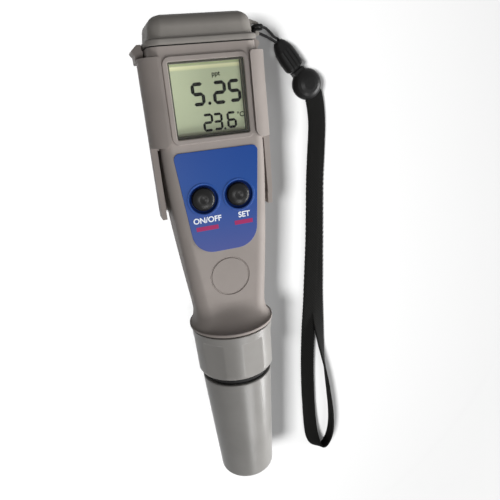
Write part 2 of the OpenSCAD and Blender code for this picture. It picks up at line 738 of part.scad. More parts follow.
module battery_contacts() color("#c8b27a") {
    tab_w = 2;
    for (s = [-1, 1]) {
        shaft_y(s * cell_x, cell_z, y_cells - contact_t, y_cells, cell_d / 2 - contact_in);
        translate([s * cell_x - tab_w / 2, y_cells - contact_t, cell_z])
            cube([tab_w, contact_t, board_z - cell_z]);
    }
}

// Plate in the battery cover that joins the two stacks of cells
module cover_contact() color("#c8b27a") {
    translate([-bridge_w / 2, y_cells_top, cell_z - bridge_h / 2]) cube([bridge_w, bridge_t, bridge_h]);
    for (s = [0, 1]) mirror([s, 0, 0]) translate([bridge_w / 2 - bridge_t, y_cells_top, cell_z - leg_w / 2])
        cube([bridge_t, y_hollow - y_cells_top, leg_w]);
}

module at_pins() {
    on_axis() for (k = [0 : pin_count - 1]) rotate([0, 0, k * 360 / pin_count + 90])
        translate([pin_ring_r, 0, 0]) children();
}

module probe_socket() color("#26262a") difference() {
    turned([[0, bulkhead_y - socket_l_plug], [bore_r - 0.05, bulkhead_y - socket_l_plug],
        [bore_r - 0.05, bulkhead_y], [0, bulkhead_y]]);
    at_pins() translate([0, 0, bulkhead_y - socket_l_plug - 1]) cylinder(h = pin_l + 1.2, r = pin_r + 0.06,
        $fn = 24);
}

module probe_leads() color("#c8b27a") {
    for (k = [-2 : 2]) shaft_y(k * lead_pitch, board_z - lead_r - 0.02, bulkhead_y, lead_end, lead_r);
}

module cover_outer() {
    hw = head_w / 2 - cover_in;
    z0 = back_z - cover_back;
    z1 = front_h + cover_front;
    hull() {
        along_y(y_seam, y_seam + lip_t) polygon(rounded(hw, z0, z1, head_r));
        for (s = [-1, 1], z = [z0 + cover_r, z1 - cover_r])
            translate([s * (hw - cover_draft - cover_r), y_top - cover_r, z]) sphere(r = cover_r, $fn = 32);
    }
}

// Rim round the cover's foot, with softened edges
module cover_lip() {
    hw = head_w / 2 + lip_side;
    z0 = back_z - cover_back - 0.5;
    z1 = front_h + lip_rise;
    soft = 0.3;
    loft([for (s = [[0, soft], [soft, 0], [lip_t - soft, 0], [lip_t, soft]])
        [y_seam + s[0], rounded(hw - s[1], z0 + s[1], z1 - s[1], head_r + 0.6)]]);
}

// Lug with a bar for the lanyard string
module lug() {
    root = head_w / 2 - screw_in;
    up(lug_z, lug_z + lug_t) difference() {
        polygon([[root, y_seam + 1.5], [lug_x, y_seam + 1.5], [lug_x, y_seam + 5.5],
            [lug_x - 2.9, y_seam + 6.6], [root, y_seam + 6.6]]);
        translate([lug_hole_x, lug_hole_y]) square([lug_hole_w, lug_hole_l]);
    }
}

// Outline of the cover's skirt, drawn in by a margin
module skirt_outline(inset) {
    polygon(rounded(skirt_w / 2 - inset, floor_z + skirt_gap + inset, roof_z - skirt_gap - inset,
        2 - inset / 2));
}

module top_cover() color("#97918b") difference() {
    union() {
        cover_outer();
        cover_lip();
        along_y(y_seam - skirt_l, y_seam + e) skirt_outline(0);
        lug();
    }
    along_y(y_seam - skirt_l - 1, y_hollow) skirt_outline(skirt_wall);
    at_screws() {
        shaft_y(0, 0, y_seam - 1, y_top + 1, screw_r + 0.15);
        shaft_y(0, 0, y_top - screw_sink, y_top + 1, screw_head_r + 0.15);
    }
}

module cover_gasket() color("#1b1b1d") difference() {
    along_y(y_mouth, y_seam) polygon(rounded(head_w / 2 - 0.5, back_z + 0.5, front_h - 0.5, head_r - 0.5));
    along_y(y_mouth - 1, y_seam + 1) polygon(rounded(skirt_w / 2 + 0.2, floor_z + 0.1, roof_z - 0.1, 2));
    at_screws() shaft_y(0, 0, y_mouth - 1, y_seam + 1, screw_r + 0.2);
}

module cover_screws() color("#b8b8bc") at_screws() difference() {
    union() {
        shaft_y(0, 0, y_mouth - screw_reach, y_top - screw_sink + e, screw_r);
        shaft_y(0, 0, y_top - screw_sink, y_top - screw_sink + screw_head_t, screw_head_r);
    }
    for (a = [0, 90]) rotate([0, a, 0]) translate([-1.2, y_top - screw_sink + screw_head_t - 0.7, -0.25])
        cube([2.4, 1, 0.5]);
}

module probe_body() color("#4a4a4d") difference() {
    y_tip = y_end + tip_gap;
    sensor_r = sensor_d / 2;
    y_barrel = y_rim - barrel_l;
    y_foot = barrel_ring_y - groove_half;
    y_head = barrel_ring_y + groove_half;
    turned([[0, y_tip], [sensor_r - 0.6, y_tip], [sensor_r, y_tip + 0.6], [sensor_r, y_barrel - 1.5],
        [barrel_r - barrel_taper, y_barrel], [barrel_r - 0.3, y_foot], [barrel_r - barrel_groove, y_foot],
        [barrel_r - barrel_groove, y_head], [barrel_r - 0.2, y_head], [barrel_r, y_rim],
        [barrel_r, y_ring_lip], [shoulder_r, y_ring_lip], [shoulder_r, y_shoulder], [stem_r, y_shoulder],
        [stem_r, stem_ring_y - groove_half], [stem_r - stem_groove, stem_ring_y - groove_half],
        [stem_r - stem_groove, stem_ring_y + groove_half], [stem_r, stem_ring_y + groove_half],
        [stem_r, y_stem - 0.4], [stem_r - 0.4, y_stem], [0, y_stem]]);
    turned([[0, y_tip - 1], [well_r, y_tip - 1], [well_r, y_tip + well_depth], [0, y_tip + well_depth]]);
    on_axis() for (k = [0 : 3]) rotate([0, 0, k * 90 + 45]) translate([well_r - 1, -1.1, y_tip - 1])
        cube([6, 2.2, well_depth]);
}

module torus_y(y, ring_r, r) {
    on_axis() translate([0, 0, y]) rotate_extrude($fn = curve_fn)
        translate([ring_r, 0]) circle(r = r, $fn = 24);
}

module probe_o_rings() color("#141416") {
    torus_y(stem_ring_y, bore_r - ring_touch - stem_ring_r, stem_ring_r);
    torus_y(barrel_ring_y, barrel_ring_out - barrel_ring_r, barrel_ring_r);
}

module probe_gasket() color("#1b1b1d") {
    turned([[bore_r - 0.05, y_shoulder], [shoulder_r - 0.2, y_shoulder], [shoulder_r - 0.2, y_spigot],
        [bore_r - 0.05, y_spigot]]);
}

module cap_seal() color("#19191b") {
    turned([[barrel_r + ring_touch, y_rim + seal_gap], [barrel_r + 0.7, y_rim + seal_gap],
        [barrel_r + 0.9, (y_rim + y_ring) / 2], [barrel_r + 0.7, y_ring - seal_gap],
        [barrel_r + ring_touch, y_ring - seal_gap]]);
}

module probe_plug_pins() color("#d0b060") {
    at_pins() translate([0, 0, y_stem]) cylinder(h = pin_l - 0.4, r = pin_r, $fn = 24);
}

module electrode_pins() color("#bfc2c6") {
    y0 = y_end + tip_gap;
    on_axis() for (k = [0 : 3]) rotate([0, 0, k * 90]) translate([well_r - 2.2, 0, y0 + 0.4])
        cylinder(h = well_depth - 0.4, r = 0.9, $fn = 24);
}

module temperature_sensor() color("#c4c6c9") {
    y0 = y_end + tip_gap;
    turned(concat(arc(0, y0 + 1.4, 1.4, 270, 360, 6), [[1.4, y0 + well_depth], [0, y0 + well_depth]]));
}

// Ring that clamps the probe to the spigot, with grip flats
module threaded_ring() color("#8f8c88") difference() {
    r0 = ring_end_d / 2;
    r1 = ring_d / 2;
    inner = spigot_d / 2 + thread_fit;
    lip_r = barrel_r + thread_fit;
    turned(concat([[lip_r, y_ring]], arc(r0 - ring_edge, y_ring + ring_edge, ring_edge, 270, 360, 6),
        [[r1, y_ring_top - 0.6], [r1 - 0.5, y_ring_top], [inner, y_ring_top], [inner, y_ring_lip],
        [lip_r, y_ring_lip]]));
    lean = atan((r1 - r0) / ring_l);
    on_axis() for (k = [0 : ring_flats - 1]) rotate([0, 0, k * 360 / ring_flats - 75])
        translate([r1 - flat_depth, 0, y_ring_top - flat_drop]) rotate([0, lean, 0])
        translate([0, -r1, -ring_l]) cube([r1, 2 * r1, ring_l]);
}

module protective_cap() color("#8e8b86") {
    r0 = cup_end_d / 2;
    r1 = cup_d / 2;
    fillet = 2;
    base = 1.5;
    inner0 = r0 - cup_wall + cup_slope * (base + 1);
    turned(concat([[0, y_end]], arc(r0 - fillet, y_end + fillet, fillet, 270, 360, 6),
        [[r1 - 0.02, y_rim - 0.4], [r1 - 0.4, y_rim], [r1 - cup_wall, y_rim], [inner0, y_end + base + 1],
        [inner0 - 1, y_end + base], [0, y_end + base]]));
}

// Frame of a route at one of its points: the level direction across it and the direction over it
function unit(v) = v / norm(v);
function place(p) = [p[0], p[1], p[2]];
function heading(route, i) = unit(place(route[min(i + 1, len(route) - 1)]) - place(route[max(i - 1, 0)]));
function across(t) = unit(cross(t, [0, 0, 1]));

// Eight points round a route's point, in a flattened ring of half width a and half thickness b
function route_ring(route, i, a, b) = let (t = heading(route, i), w = across(t), n = cross(w, t),
    roll = len(route[i]) > 3 ? route[i][3] : 0, u = w * cos(roll) + n * sin(roll),
    v = n * cos(roll) - w * sin(roll))
    [for (k = [0 : 7]) let (c = ring_corner(k, a, b)) place(route[i]) + u * c[0] + v * c[1]];
function ring_corner(k, a, b) = a == b ? [a * cos(k * 45 + 22.5), a * sin(k * 45 + 22.5)]
    : [[a, b / 2], [a - b / 2, b], [-a + b / 2, b], [-a, b / 2], [-a, -b / 2], [-a + b / 2, -b],
       [a - b / 2, -b], [a, -b / 2]][k];

module sweep(route, a, b) {
    last = len(route) - 1;
    points = [for (i = [0 : last], p = route_ring(route, i, a, b)) p];
    sides = [for (i = [0 : last - 1], j = [0 : 7]) let (k = (j + 1) % 8)
        each [[i * 8 + j, i * 8 + k, (i + 1) * 8 + k], [i * 8 + j, (i + 1) * 8 + k, (i + 1) * 8 + j]]];
    polyhedron(points = points, faces = concat(sides, [[7, 6, 5, 4, 3, 2, 1, 0],
        [for (j = [0 : 7]) last * 8 + j]]), convexity = 6);
}

module lanyard_string() color("#161616") sweep(string_route, string_d / 2, string_d / 2);
module wrist_strap() color("#1a1a1b") sweep(strap_route, strap_w / 2, strap_t / 2);

// Places a shape on the buckle's line: local Y runs back towards the tester, local X across
module on_buckle(at) {
    translate(at) rotate([0, 0, lanyard_turn + 90]) children();
}

// Oval half of the buckle, hollow for the tongue and grooved lengthwise
module buckle_socket() color("#1c1c1e") on_buckle(socket_at) difference() {
    h = socket_l / 2;
    w = socket_w / 2;
    t = socket_t / 2;
    loft([for (s = [[-h, 0.9, 0.9], [-h + 0.8, 0.98, 0.97], [-h / 3, 1, 1], [h / 3, 0.92, 0.96],
        [h - 2.4, 0.78, 0.84], [h - 0.8, 0.6, 0.68], [h, 0.42, 0.5]])
        [s[0], rounded(w * s[1], -t * s[2], t * s[2], t * s[2] * 0.8, 5)]]);
    translate([-tongue_w / 2 - 0.2, -h - 1, -tongue_t / 2 - 0.2])
        cube([tongue_w + 0.4, tongue_l + 1.5, tongue_t + 0.4]);
    for (x = [-1.5, 0, 1.5], s = [0, 1]) mirror([0, 0, s]) translate([x - 0.25, -h - 1, t - 0.35])
        cube([0.5, socket_l - 2.4, 2]);
}

// Round half of the buckle, with the tongue that clicks into the oval half
module buckle_plug() color("#18181a") {
    on_buckle(plug_at) {
        r = plug_d / 2;
        t = plug_t / 2;
        rotate_extrude($fn = 48) polygon(concat([for (a = [-90 : 15 : 90])
            [r * pow(cos(a), 0.75), t * sin(a)]]));
    }
    on_buckle([plug_at[0], plug_at[1], socket_at[2]]) {
        start = plug_d / 2 - 1.2;
        translate([-tongue_w / 2, start, -tongue_t / 2]) cube([tongue_w, plug_gap + tongue_l, tongue_t]);
        translate([-tongue_w / 2 - 0.5, start, -tongue_t]) cube([tongue_w + 1, plug_gap - 0.4, 2 * tongue_t]);
    }
}

main_housing();
rear_cradle();
window_lens();
lens_gasket();
display_panel();
display_holder();
contact_strips();
control_label();
main_board();
board_components();
tact_switches();
battery_tray();
button_cells();
battery_contacts();
probe_socket();
probe_leads();
top_cover();
cover_gasket();
cover_screws();
cover_contact();
power_button();
power_plunger();
set_button();
set_plunger();
probe_body();
probe_gasket();
probe_o_rings();
probe_plug_pins();
electrode_pins();
temperature_sensor();
cap_seal();
threaded_ring();
protective_cap();
lanyard_string();
buckle_socket();
buckle_plug();
wrist_strap();
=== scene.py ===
"""Looks of the pocket conductivity tester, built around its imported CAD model.

Sizes are in millimetres until mm() or MM turns them into metres.
"""
import json
import math

import bpy
import bmesh
from mathutils import Matrix, Vector, kdtree


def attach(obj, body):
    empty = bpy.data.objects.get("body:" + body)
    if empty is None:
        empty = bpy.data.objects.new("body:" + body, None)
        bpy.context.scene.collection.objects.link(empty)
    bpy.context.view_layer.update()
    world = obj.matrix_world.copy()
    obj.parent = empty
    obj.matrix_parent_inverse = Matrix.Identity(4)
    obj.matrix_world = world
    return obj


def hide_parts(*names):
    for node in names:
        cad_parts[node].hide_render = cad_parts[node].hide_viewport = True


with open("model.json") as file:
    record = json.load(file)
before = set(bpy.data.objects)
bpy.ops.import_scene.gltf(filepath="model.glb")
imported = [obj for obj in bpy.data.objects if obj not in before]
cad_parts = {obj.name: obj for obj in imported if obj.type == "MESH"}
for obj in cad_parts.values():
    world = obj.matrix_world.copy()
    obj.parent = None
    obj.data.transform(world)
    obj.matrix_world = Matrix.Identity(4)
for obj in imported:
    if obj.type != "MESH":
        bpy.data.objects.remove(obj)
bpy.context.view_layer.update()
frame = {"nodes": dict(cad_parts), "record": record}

MM = 0.001
TAU = 2 * math.pi
MERGE = 1e-6  # metres: points that are nearer than this become one

# Places along the tester: the cap's closed end and rim, the ring's ends, the flange, the neck, the end of
# the taper, the housing's mouth, the cover's seam and its top, as in the CAD source
Y_END, Y_RIM, Y_RING, Y_RING_TOP, Y_FLANGE = -87.25, -41.35, -38.75, -20.55, -19.75
Y_NECK, Y_TAPER, Y_MOUTH, Y_SEAM, Y_TOP = -14.75, 43.25, 78.05, 78.45, 87.25
# Heights over the floor: the collar's axis, and the housing's back, front and window frame
AXIS_Z, BACK_Z, FRONT_Z, FRAME_Z = 15.9, 2.0, 22.6, 23.4
# Half widths of the head and the neck
HEAD_HW, NECK_HW = 17.6, 13.0
# Cover screws by distance to either side and height, and buttons by place and name
SCREWS = ((14.0, 19.5), (14.0, 5.9))
BUTTONS = ((-6.2, 29.35, "power"), (6.2, 29.35, "set"))


def mm(*p):
    """A point in millimetres as a vector in metres."""
    return Vector(p) * MM


def placed(name, data):
    """A new object in the scene for a mesh, a curve, a lamp or a camera."""
    obj = bpy.data.objects.new(name, data)
    bpy.context.scene.collection.objects.link(obj)
    return obj


# Camera, fitted to the photograph
LENS, SENSOR, CLIP_START = 34.843, 36, 5
CAMERA_AT = (-37.358, 63.164, 181.798)
CAMERA_RIGHT = (0.947994, -0.093704, 0.304181)
CAMERA_UP = (0.180874, 0.944973, -0.2726)
CAMERA_BACK = (-0.261899, 0.313442, 0.912778)


def add_camera():
    """The camera, by its place and the directions of its three axes."""
    data = bpy.data.cameras.new("camera")
    data.sensor_width = SENSOR
    data.lens = LENS
    data.clip_start = CLIP_START * MM
    camera = placed("camera", data)
    places = [at * MM for at in CAMERA_AT]
    rows = list(zip(CAMERA_RIGHT, CAMERA_UP, CAMERA_BACK, places))
    camera.matrix_world = Matrix(rows + [(0, 0, 0, 1)])
    bpy.context.scene.camera = camera


# Outlines and surfaces, a surface being a pair of points and faces
# Radius of a surface's points next to its axis, and least corner radius
CORE_R, LEAST_R = 0.02, 0.02


def arc(cx, cy, r, start, end, n=10):
    """Points of an arc from one angle in degrees to another."""
    angles = [math.radians(start + (end - start) * i / n) for i in range(n + 1)]
    return [(cx + r * math.cos(a), cy + r * math.sin(a)) for a in angles]


def rounded(half_w, low, high, r, n=10):
    """Points of a rounded rectangle, of a half width one way and between two places the other way."""
    r = max(r, LEAST_R)
    return (arc(half_w - r, high - r, r, 0, 90, n) + arc(-half_w + r, high - r, r, 90, 180, n)
            + arc(-half_w + r, low + r, r, 180, 270, n) + arc(half_w - r, low + r, r, 270, 360, n))


def flat_ring(half_w, y0, y1, r, z, n=10):
    """A rounded rectangle lying at a height."""
    return [(x, y, z) for x, y in rounded(half_w, y0, y1, r, n)]


def circle(r, y, n, x=0.0, z=AXIS_Z):
    """A circle of points about a line along Y."""
    return [(x + r * math.sin(TAU * k / n), y, z + r * math.cos(TAU * k / n)) for k in range(n)]


def grid(rows, loop=False):
    """Surface through rings of points, with both ends capped or with the last ring joined to the first."""
    n = len(rows[0])
    faces = []
    for i in range(len(rows) if loop else len(rows) - 1):
        low, high = i * n, (i + 1) % len(rows) * n
        faces += [(low + j, low + (j + 1) % n, high + (j + 1) % n, high + j) for j in range(n)]
    if not loop:
        faces.append(tuple(range(n - 1, -1, -1)))
        faces.append(tuple((len(rows) - 1) * n + j for j in range(n)))
    return [p for row in rows for p in row], faces


def revolved(profile, n, x=0.0, z=AXIS_Z, loop=True):
    """Surface of (radius, y) points turned about a line along Y."""
    return grid([circle(r, y, n, x, z) for r, y in profile], loop)


def upright(profile, cx, cy, loop=True, n=96):
    """Surface of (radius, z) points turned about a vertical line."""
    rows = [[(cx + r * math.cos(TAU * k / n), cy + r * math.sin(TAU * k / n), z) for k in range(n)]
            for r, z in profile]
    return grid(rows, loop)


def slab(points, z0, z1):
    """Plate with a given outline."""
    return grid([[(x, y, z) for x, y in points] for z in (z0, z1)])


def join(shapes):
    """Several surfaces as one."""
    verts, faces = [], []
    for points, parts in shapes:
        base = len(verts)
        verts += points
        faces += [tuple(i + base for i in face) for face in parts]
    return verts, faces


# Mesh objects
def mesh_object(name, shape):
    """A new mesh object from a surface in millimetres."""
    verts, faces = shape
    mesh = bpy.data.meshes.new(name)
    mesh.from_pydata([Vector(v) * MM for v in verts], [], faces)
    return placed(name, mesh)


def make(name, shape, body, slot, look=None, sharp=30, replaces=()):
    """A piece that rides a body, in its slot's look or another, smooth but for its sharp edges."""
    obj = mesh_object(name, shape)
    clean(obj.data, sharp)
    obj.data.materials.append(MATS[look or slot])
    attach(obj, body)
    if replaces:
        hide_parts(*replaces)
    return obj


def clean(mesh, sharp):
    """Merges doubled points, turns faces outwards and marks edges sharper than an angle."""
    bm = bmesh.new()
    bm.from_mesh(mesh)
    bmesh.ops.remove_doubles(bm, verts=bm.verts, dist=MERGE)
    bmesh.ops.dissolve_degenerate(bm, edges=bm.edges, dist=MERGE)
    bmesh.ops.recalc_face_normals(bm, faces=bm.faces)
    limit = math.radians(sharp)
    for edge in bm.edges:
        edge.smooth = len(edge.link_faces) == 2 and edge.calc_face_angle(0) < limit
    for face in bm.faces:
        face.smooth = True
    bm.to_mesh(mesh)
    bm.free()


def cut(obj, shapes, sharp, operation="DIFFERENCE"):
    """Cuts closed shapes out of a mesh, or joins them to it."""
    cutter = mesh_object("cutter", join(shapes))
    mesh = cutter.data
    clean(mesh, sharp)
    modifier = obj.modifiers.new("cut", "BOOLEAN")
    modifier.operation = operation
    modifier.solver = "EXACT"
    modifier.object = cutter
    apply_all(obj)
    bpy.data.objects.remove(cutter)
    bpy.data.meshes.remove(mesh)
    clean(obj.data, sharp)


def evaluated_mesh(obj):
    """A new mesh of what an object's modifiers or letters make."""
    graph = bpy.context.evaluated_depsgraph_get()
    return bpy.data.meshes.new_from_object(obj.evaluated_get(graph))


def apply_all(obj):
    """Replaces the object's mesh by what its modifiers make of it."""
    made = evaluated_mesh(obj)
    old = obj.data
    obj.modifiers.clear()
    obj.data = made
    bpy.data.meshes.remove(old)


def even(obj):
    """Shades flat faces flat right up to their rounded edges."""
    modifier = obj.modifiers.new("even", "WEIGHTED_NORMAL")
    modifier.keep_sharp = True


def soften(name, width, segments=3, angle=32, flat=0.4):
    """Rounds the sharp edges of a CAD node that stays, by modifiers, and shades it smooth."""
    obj = frame["nodes"][name]
    weld = obj.modifiers.new("weld", "WELD")
    weld.merge_threshold = MERGE
    planar = obj.modifiers.new("planar", "DECIMATE")
    planar.decimate_type = "DISSOLVE"
    planar.angle_limit = math.radians(flat)
    bevel = obj.modifiers.new("bevel", "BEVEL")
    bevel.width = width * MM
    bevel.segments = segments
    bevel.limit_method = "ANGLE"
    bevel.angle_limit = math.radians(angle)
    bevel.harden_normals = False
    for polygon in obj.data.polygons:
        polygon.use_smooth = True
    even(obj)


# Materials
COLOR_VARY, ROUGH_VARY, BAND_VARY = 0.06, 0.06, 0.03
SLOW_SCALE, GRAIN_SCALE, GRAIN_DEPTH = 75, 4000, 0.2
GREY = (0.32, 0.285, 0.265)
BLACK = (0.009, 0.009, 0.009)
LCD = (0.49, 0.545, 0.365)

# Places along Y and colours there, for the display's glass and for the label, with painted light in both
# Display: darker bottom edge and top band partly its border, partly painted shade; pale stripe a painted
# highlight
DISPLAY_BANDS_WITH_PAINTED_LIGHT = (
    (49.2, (0.16, 0.17, 0.11)), (51.1, (0.23, 0.24, 0.16)), (51.8, LCD), (70.7, LCD),
    (71.1, (0.68, 0.7, 0.43)), (71.9, (0.8, 0.8, 0.52)), (72.2, (0.42, 0.47, 0.27)),
    (73.6, (0.34, 0.4, 0.21)))
# Label: lighter towards its lower end, a painted reflection
LABEL_BANDS_WITH_PAINTED_REFLECTION = (
    (10.0, (0.06, 0.085, 0.29)), (22.0, (0.03, 0.075, 0.295)), (30.0, (0.01, 0.066, 0.29)),
    (45.6, (0.007, 0.055, 0.27)))


def grey(value):
    """A grey colour, the same in each channel."""
    return (value, value, value, 1)


def add_node(tree, kind, inputs=None, **settings):
    """A new shader node with some of its settings and inputs given."""
    node = tree.nodes.new("ShaderNode" + kind)
    for key, value in settings.items():
        setattr(node, key, value)
    for key, value in (inputs or {}).items():
        node.inputs[key].default_value = value
    return node


def node_material(name):
    """A new material, with its tree and its main shader."""
    m = bpy.data.materials.new(name)
    m.use_nodes = True
    return m, m.node_tree, m.node_tree.nodes["Principled BSDF"]


def material(name, color, roughness=0.5, metallic=0.0, bump=0.04, bump_scale=GRAIN_SCALE, gloss=0.5,
             sheen=0.0):
    """Moulded surface: slow colour variation, uneven gloss and a fine grain."""
    m, tree, shader = node_material(name)
    link = tree.links.new
    shader.inputs["Metallic"].default_value = metallic
    shader.inputs["Specular IOR Level"].default_value = gloss
    shader.inputs["Sheen Weight"].default_value = sheen
    place = add_node(tree, "TexCoord")
    slow = add_node(tree, "TexNoise", {"Scale": SLOW_SCALE, "Detail": 3})
    fine = add_node(tree, "TexNoise", {"Scale": bump_scale, "Detail": 2})
    for noise in (slow, fine):
        link(place.outputs["Object"], noise.inputs["Vector"])
    ramp = add_node(tree, "ValToRGB")
    dark, light = ramp.color_ramp.elements
    dark.position, light.position = 0.3, 0.7
    dark.color = [c * (1 - COLOR_VARY) for c in color] + [1]
    light.color = [min(c * (1 + COLOR_VARY), 1) for c in color] + [1]
    link(slow.outputs["Fac"], ramp.inputs["Fac"])
    link(ramp.outputs["Color"], shader.inputs["Base Color"])
    spread = add_node(tree, "MapRange", {"To Min": max(roughness - ROUGH_VARY, 0.02),
                                         "To Max": min(roughness + ROUGH_VARY, 1)})
    link(fine.outputs["Fac"], spread.inputs["Value"])
    link(spread.outputs["Result"], shader.inputs["Roughness"])
    if bump:
        relief = add_node(tree, "Bump", {"Strength": bump, "Distance": GRAIN_DEPTH * MM})
        link(fine.outputs["Fac"], relief.inputs["Height"])
        link(relief.outputs["Normal"], shader.inputs["Normal"])
    return m


def lens_material():
    """Clear window that lets lamp light through to the display."""
    m, tree, shader = node_material("window_clear")
    link = tree.links.new
    shader.inputs["Base Color"].default_value = (0.97, 0.98, 0.97, 1)
    shader.inputs["Transmission Weight"].default_value = 1.0
    shader.inputs["IOR"].default_value = 1.2
    noise = add_node(tree, "TexNoise", {"Scale": 300})
    spread = add_node(tree, "MapRange", {"To Min": 0.02, "To Max": 0.05})
    link(noise.outputs["Fac"], spread.inputs["Value"])
    link(spread.outputs["Result"], shader.inputs["Roughness"])
    clear = add_node(tree, "BsdfTransparent")
    path = add_node(tree, "LightPath")
    through = add_node(tree, "Math", operation="MAXIMUM")
    link(path.outputs["Is Shadow Ray"], through.inputs[0])
    link(path.outputs["Is Diffuse Ray"], through.inputs[1])
    mix = add_node(tree, "MixShader")
    link(through.outputs["Value"], mix.inputs["Fac"])
    link(shader.outputs["BSDF"], mix.inputs[1])
    link(clear.outputs["BSDF"], mix.inputs[2])
    link(mix.outputs["Shader"], tree.nodes["Material Output"].inputs["Surface"])
    return m


def painted_light_bands(name, roughness, y0, y1, stops, bump=0.0, gloss=0.2):
    """Colour bands along Y, holding painted shade, highlight and reflection, with a fine uneven grain."""
    m = material(name, (0.5, 0.5, 0.5), roughness, bump=bump, gloss=gloss)
    tree = m.node_tree
    link = tree.links.new
    grain = tree.nodes["Color Ramp"]
    grain.color_ramp.elements[0].color = grey(1 - BAND_VARY)
    grain.color_ramp.elements[1].color = grey(1)
    split = add_node(tree, "SeparateXYZ")
    run = add_node(tree, "MapRange", {"From Min": y0 * MM, "From Max": y1 * MM})
    ramp = add_node(tree, "ValToRGB")
    elements = ramp.color_ramp.elements
    while len(elements) < len(stops):
        elements.new(0.5)
    for element, (y, color) in zip(elements, stops):
        element.position = (y - y0) / (y1 - y0)
        element.color = (*color, 1)
    mix = add_node(tree, "Mix", {"Factor": 1}, data_type="RGBA", blend_type="MULTIPLY")
    link(tree.nodes["Texture Coordinate"].outputs["Object"], split.inputs["Vector"])
    link(split.outputs["Y"], run.inputs["Value"])
    link(run.outputs["Result"], ramp.inputs["Fac"])
    link(ramp.outputs["Color"], mix.inputs[6])
    link(grain.outputs["Color"], mix.inputs[7])
    link(mix.outputs[2], tree.nodes["Principled BSDF"].inputs["Base Color"])
    return m


def weave_material(name, color, rib, cord):
    """Ribbed webbing: fine ribs across it and cords along it, from its own length and width coordinates."""
    groove_painted_shade, crest_painted_highlight, depth = 0.45, 1.7, 0.12
    m = material(name, color, 0.85, bump=0, gloss=0.05, sheen=0.03)
    tree = m.node_tree
    link = tree.links.new
    shader = tree.nodes["Principled BSDF"]
    place = add_node(tree, "UVMap", uv_map="run")
    split = add_node(tree, "SeparateXYZ")
    link(place.outputs["UV"], split.inputs["Vector"])
    both = add_node(tree, "Math", operation="MULTIPLY")
    for i, (axis, pitch) in enumerate((("X", rib), ("Y", cord))):
        turn = add_node(tree, "Math", {1: TAU / pitch}, operation="MULTIPLY")
        wave = add_node(tree, "Math", operation="SINE")
        link(split.outputs[axis], turn.inputs[0])
        link(turn.outputs["Value"], wave.inputs[0])
        link(wave.outputs["Value"], both.inputs[i])
    height = add_node(tree, "MapRange", {"From Min": -1})
    link(both.outputs["Value"], height.inputs["Value"])
    relief = add_node(tree, "Bump", {"Strength": 0.7, "Distance": depth * MM})
    link(height.outputs["Result"], relief.inputs["Height"])
    link(relief.outputs["Normal"], shader.inputs["Normal"])
    # Colour from the relief: darker in the grooves, lighter on the crests, as painted shade and a painted
    # highlight
    shade = add_node(tree, "ValToRGB")
    shade.color_ramp.elements[0].color = [c * groove_painted_shade for c in color] + [1]
    shade.color_ramp.elements[1].color = [c * crest_painted_highlight for c in color] + [1]
    link(height.outputs["Result"], shade.inputs["Fac"])
    link(shade.outputs["Color"], shader.inputs["Base Color"])
    return m


MATS = {
    "housing": material("housing_plastic", GREY, 0.5, bump=0.05, gloss=0.1),
    "cradle": material("cradle_plastic", (0.31, 0.275, 0.255), 0.5, bump=0.05, gloss=0.1),
    "cover": material("cover_plastic", (0.25, 0.235, 0.216), 0.5, bump=0.05, gloss=0.1),
    "ring": material("ring_plastic", (0.265, 0.255, 0.242), 0.36, bump=0.03, gloss=0.24),
    "cap": material("cap_plastic", (0.245, 0.238, 0.227), 0.31, bump=0.03, gloss=0.24),
    "gasket": material("gasket_rubber", (0.012, 0.012, 0.012), 0.6, bump=0.1, gloss=0.15),
    "button": material("button_rubber", BLACK, 0.33, bump=0.03, gloss=0.16),
    "probe": material("probe_plastic", (0.06, 0.06, 0.064), 0.38),
    "inner_plastic": material("inner_plastic", (0.05, 0.05, 0.055), 0.5),
    "board": material("board_green", (0.02, 0.14, 0.05), 0.35),
    "component": material("component_black", (0.03, 0.03, 0.032), 0.45),
    "cell_steel": material("cell_steel", (0.6, 0.6, 0.61), 0.25, 1.0),
    "contact": material("contact_metal", (0.62, 0.5, 0.26), 0.3, 1.0),
    "screw": material("screw_steel", (0.55, 0.55, 0.56), 0.3, 1.0),
    "electrode": material("electrode_steel", (0.62, 0.63, 0.65), 0.22, 1.0),
    "string": material("string_braid", BLACK, 0.8, bump=0.3, bump_scale=2500, gloss=0.1),
    "strap": weave_material("strap_webbing", (0.009, 0.009, 0.0085), 1.2 * MM, 1.1 * MM),
    "buckle": material("buckle_plastic", BLACK, 0.34, bump=0.05, gloss=0.14),
    "lens_seal": material("lens_seal", (0.06, 0.06, 0.048), 0.5, bump=0.05, gloss=0.2),
    "lens": lens_material(),
    # Display glass with painted shade at its edges and a painted highlight stripe
    "display": painted_light_bands("display_glass_painted_light", 0.4, 49, 74, DISPLAY_BANDS_WITH_PAINTED_LIGHT),
    # Label film lighter towards its lower end: a painted reflection
    "label": painted_light_bands("label_film_painted_reflection", 0.36, 10, 46, LABEL_BANDS_WITH_PAINTED_REFLECTION, bump=0.02),
    # Dish round each button, darker than the label film: painted shade in the recess
    "dish": material("dish_blue_painted_shade", (0.005, 0.018, 0.1), 0.4, bump=0, gloss=0.12),
    "ink": material("figure_ink", (0.004, 0.005, 0.004), 0.6, bump=0, gloss=0.05),
    "ink_faint": material("figure_ink_faint", (0.02, 0.026, 0.014), 0.6, bump=0, gloss=0.05),
    "print": material("label_print", (0.85, 0.88, 0.92), 0.5, bump=0),
    "print_red": material("label_red", (0.33, 0.016, 0.11), 0.5, bump=0, gloss=0.2),
}


def dress_nodes():
    """Gives each carried-over node its material and slot."""
    for part in frame["record"]["subparts"]:
        node = frame["nodes"][part["node"]]
        look = "lens_seal" if part["node"] == "lens_gasket" else part["material_slot"]
        node.data.materials.clear()
        node.data.materials.append(MATS[look])


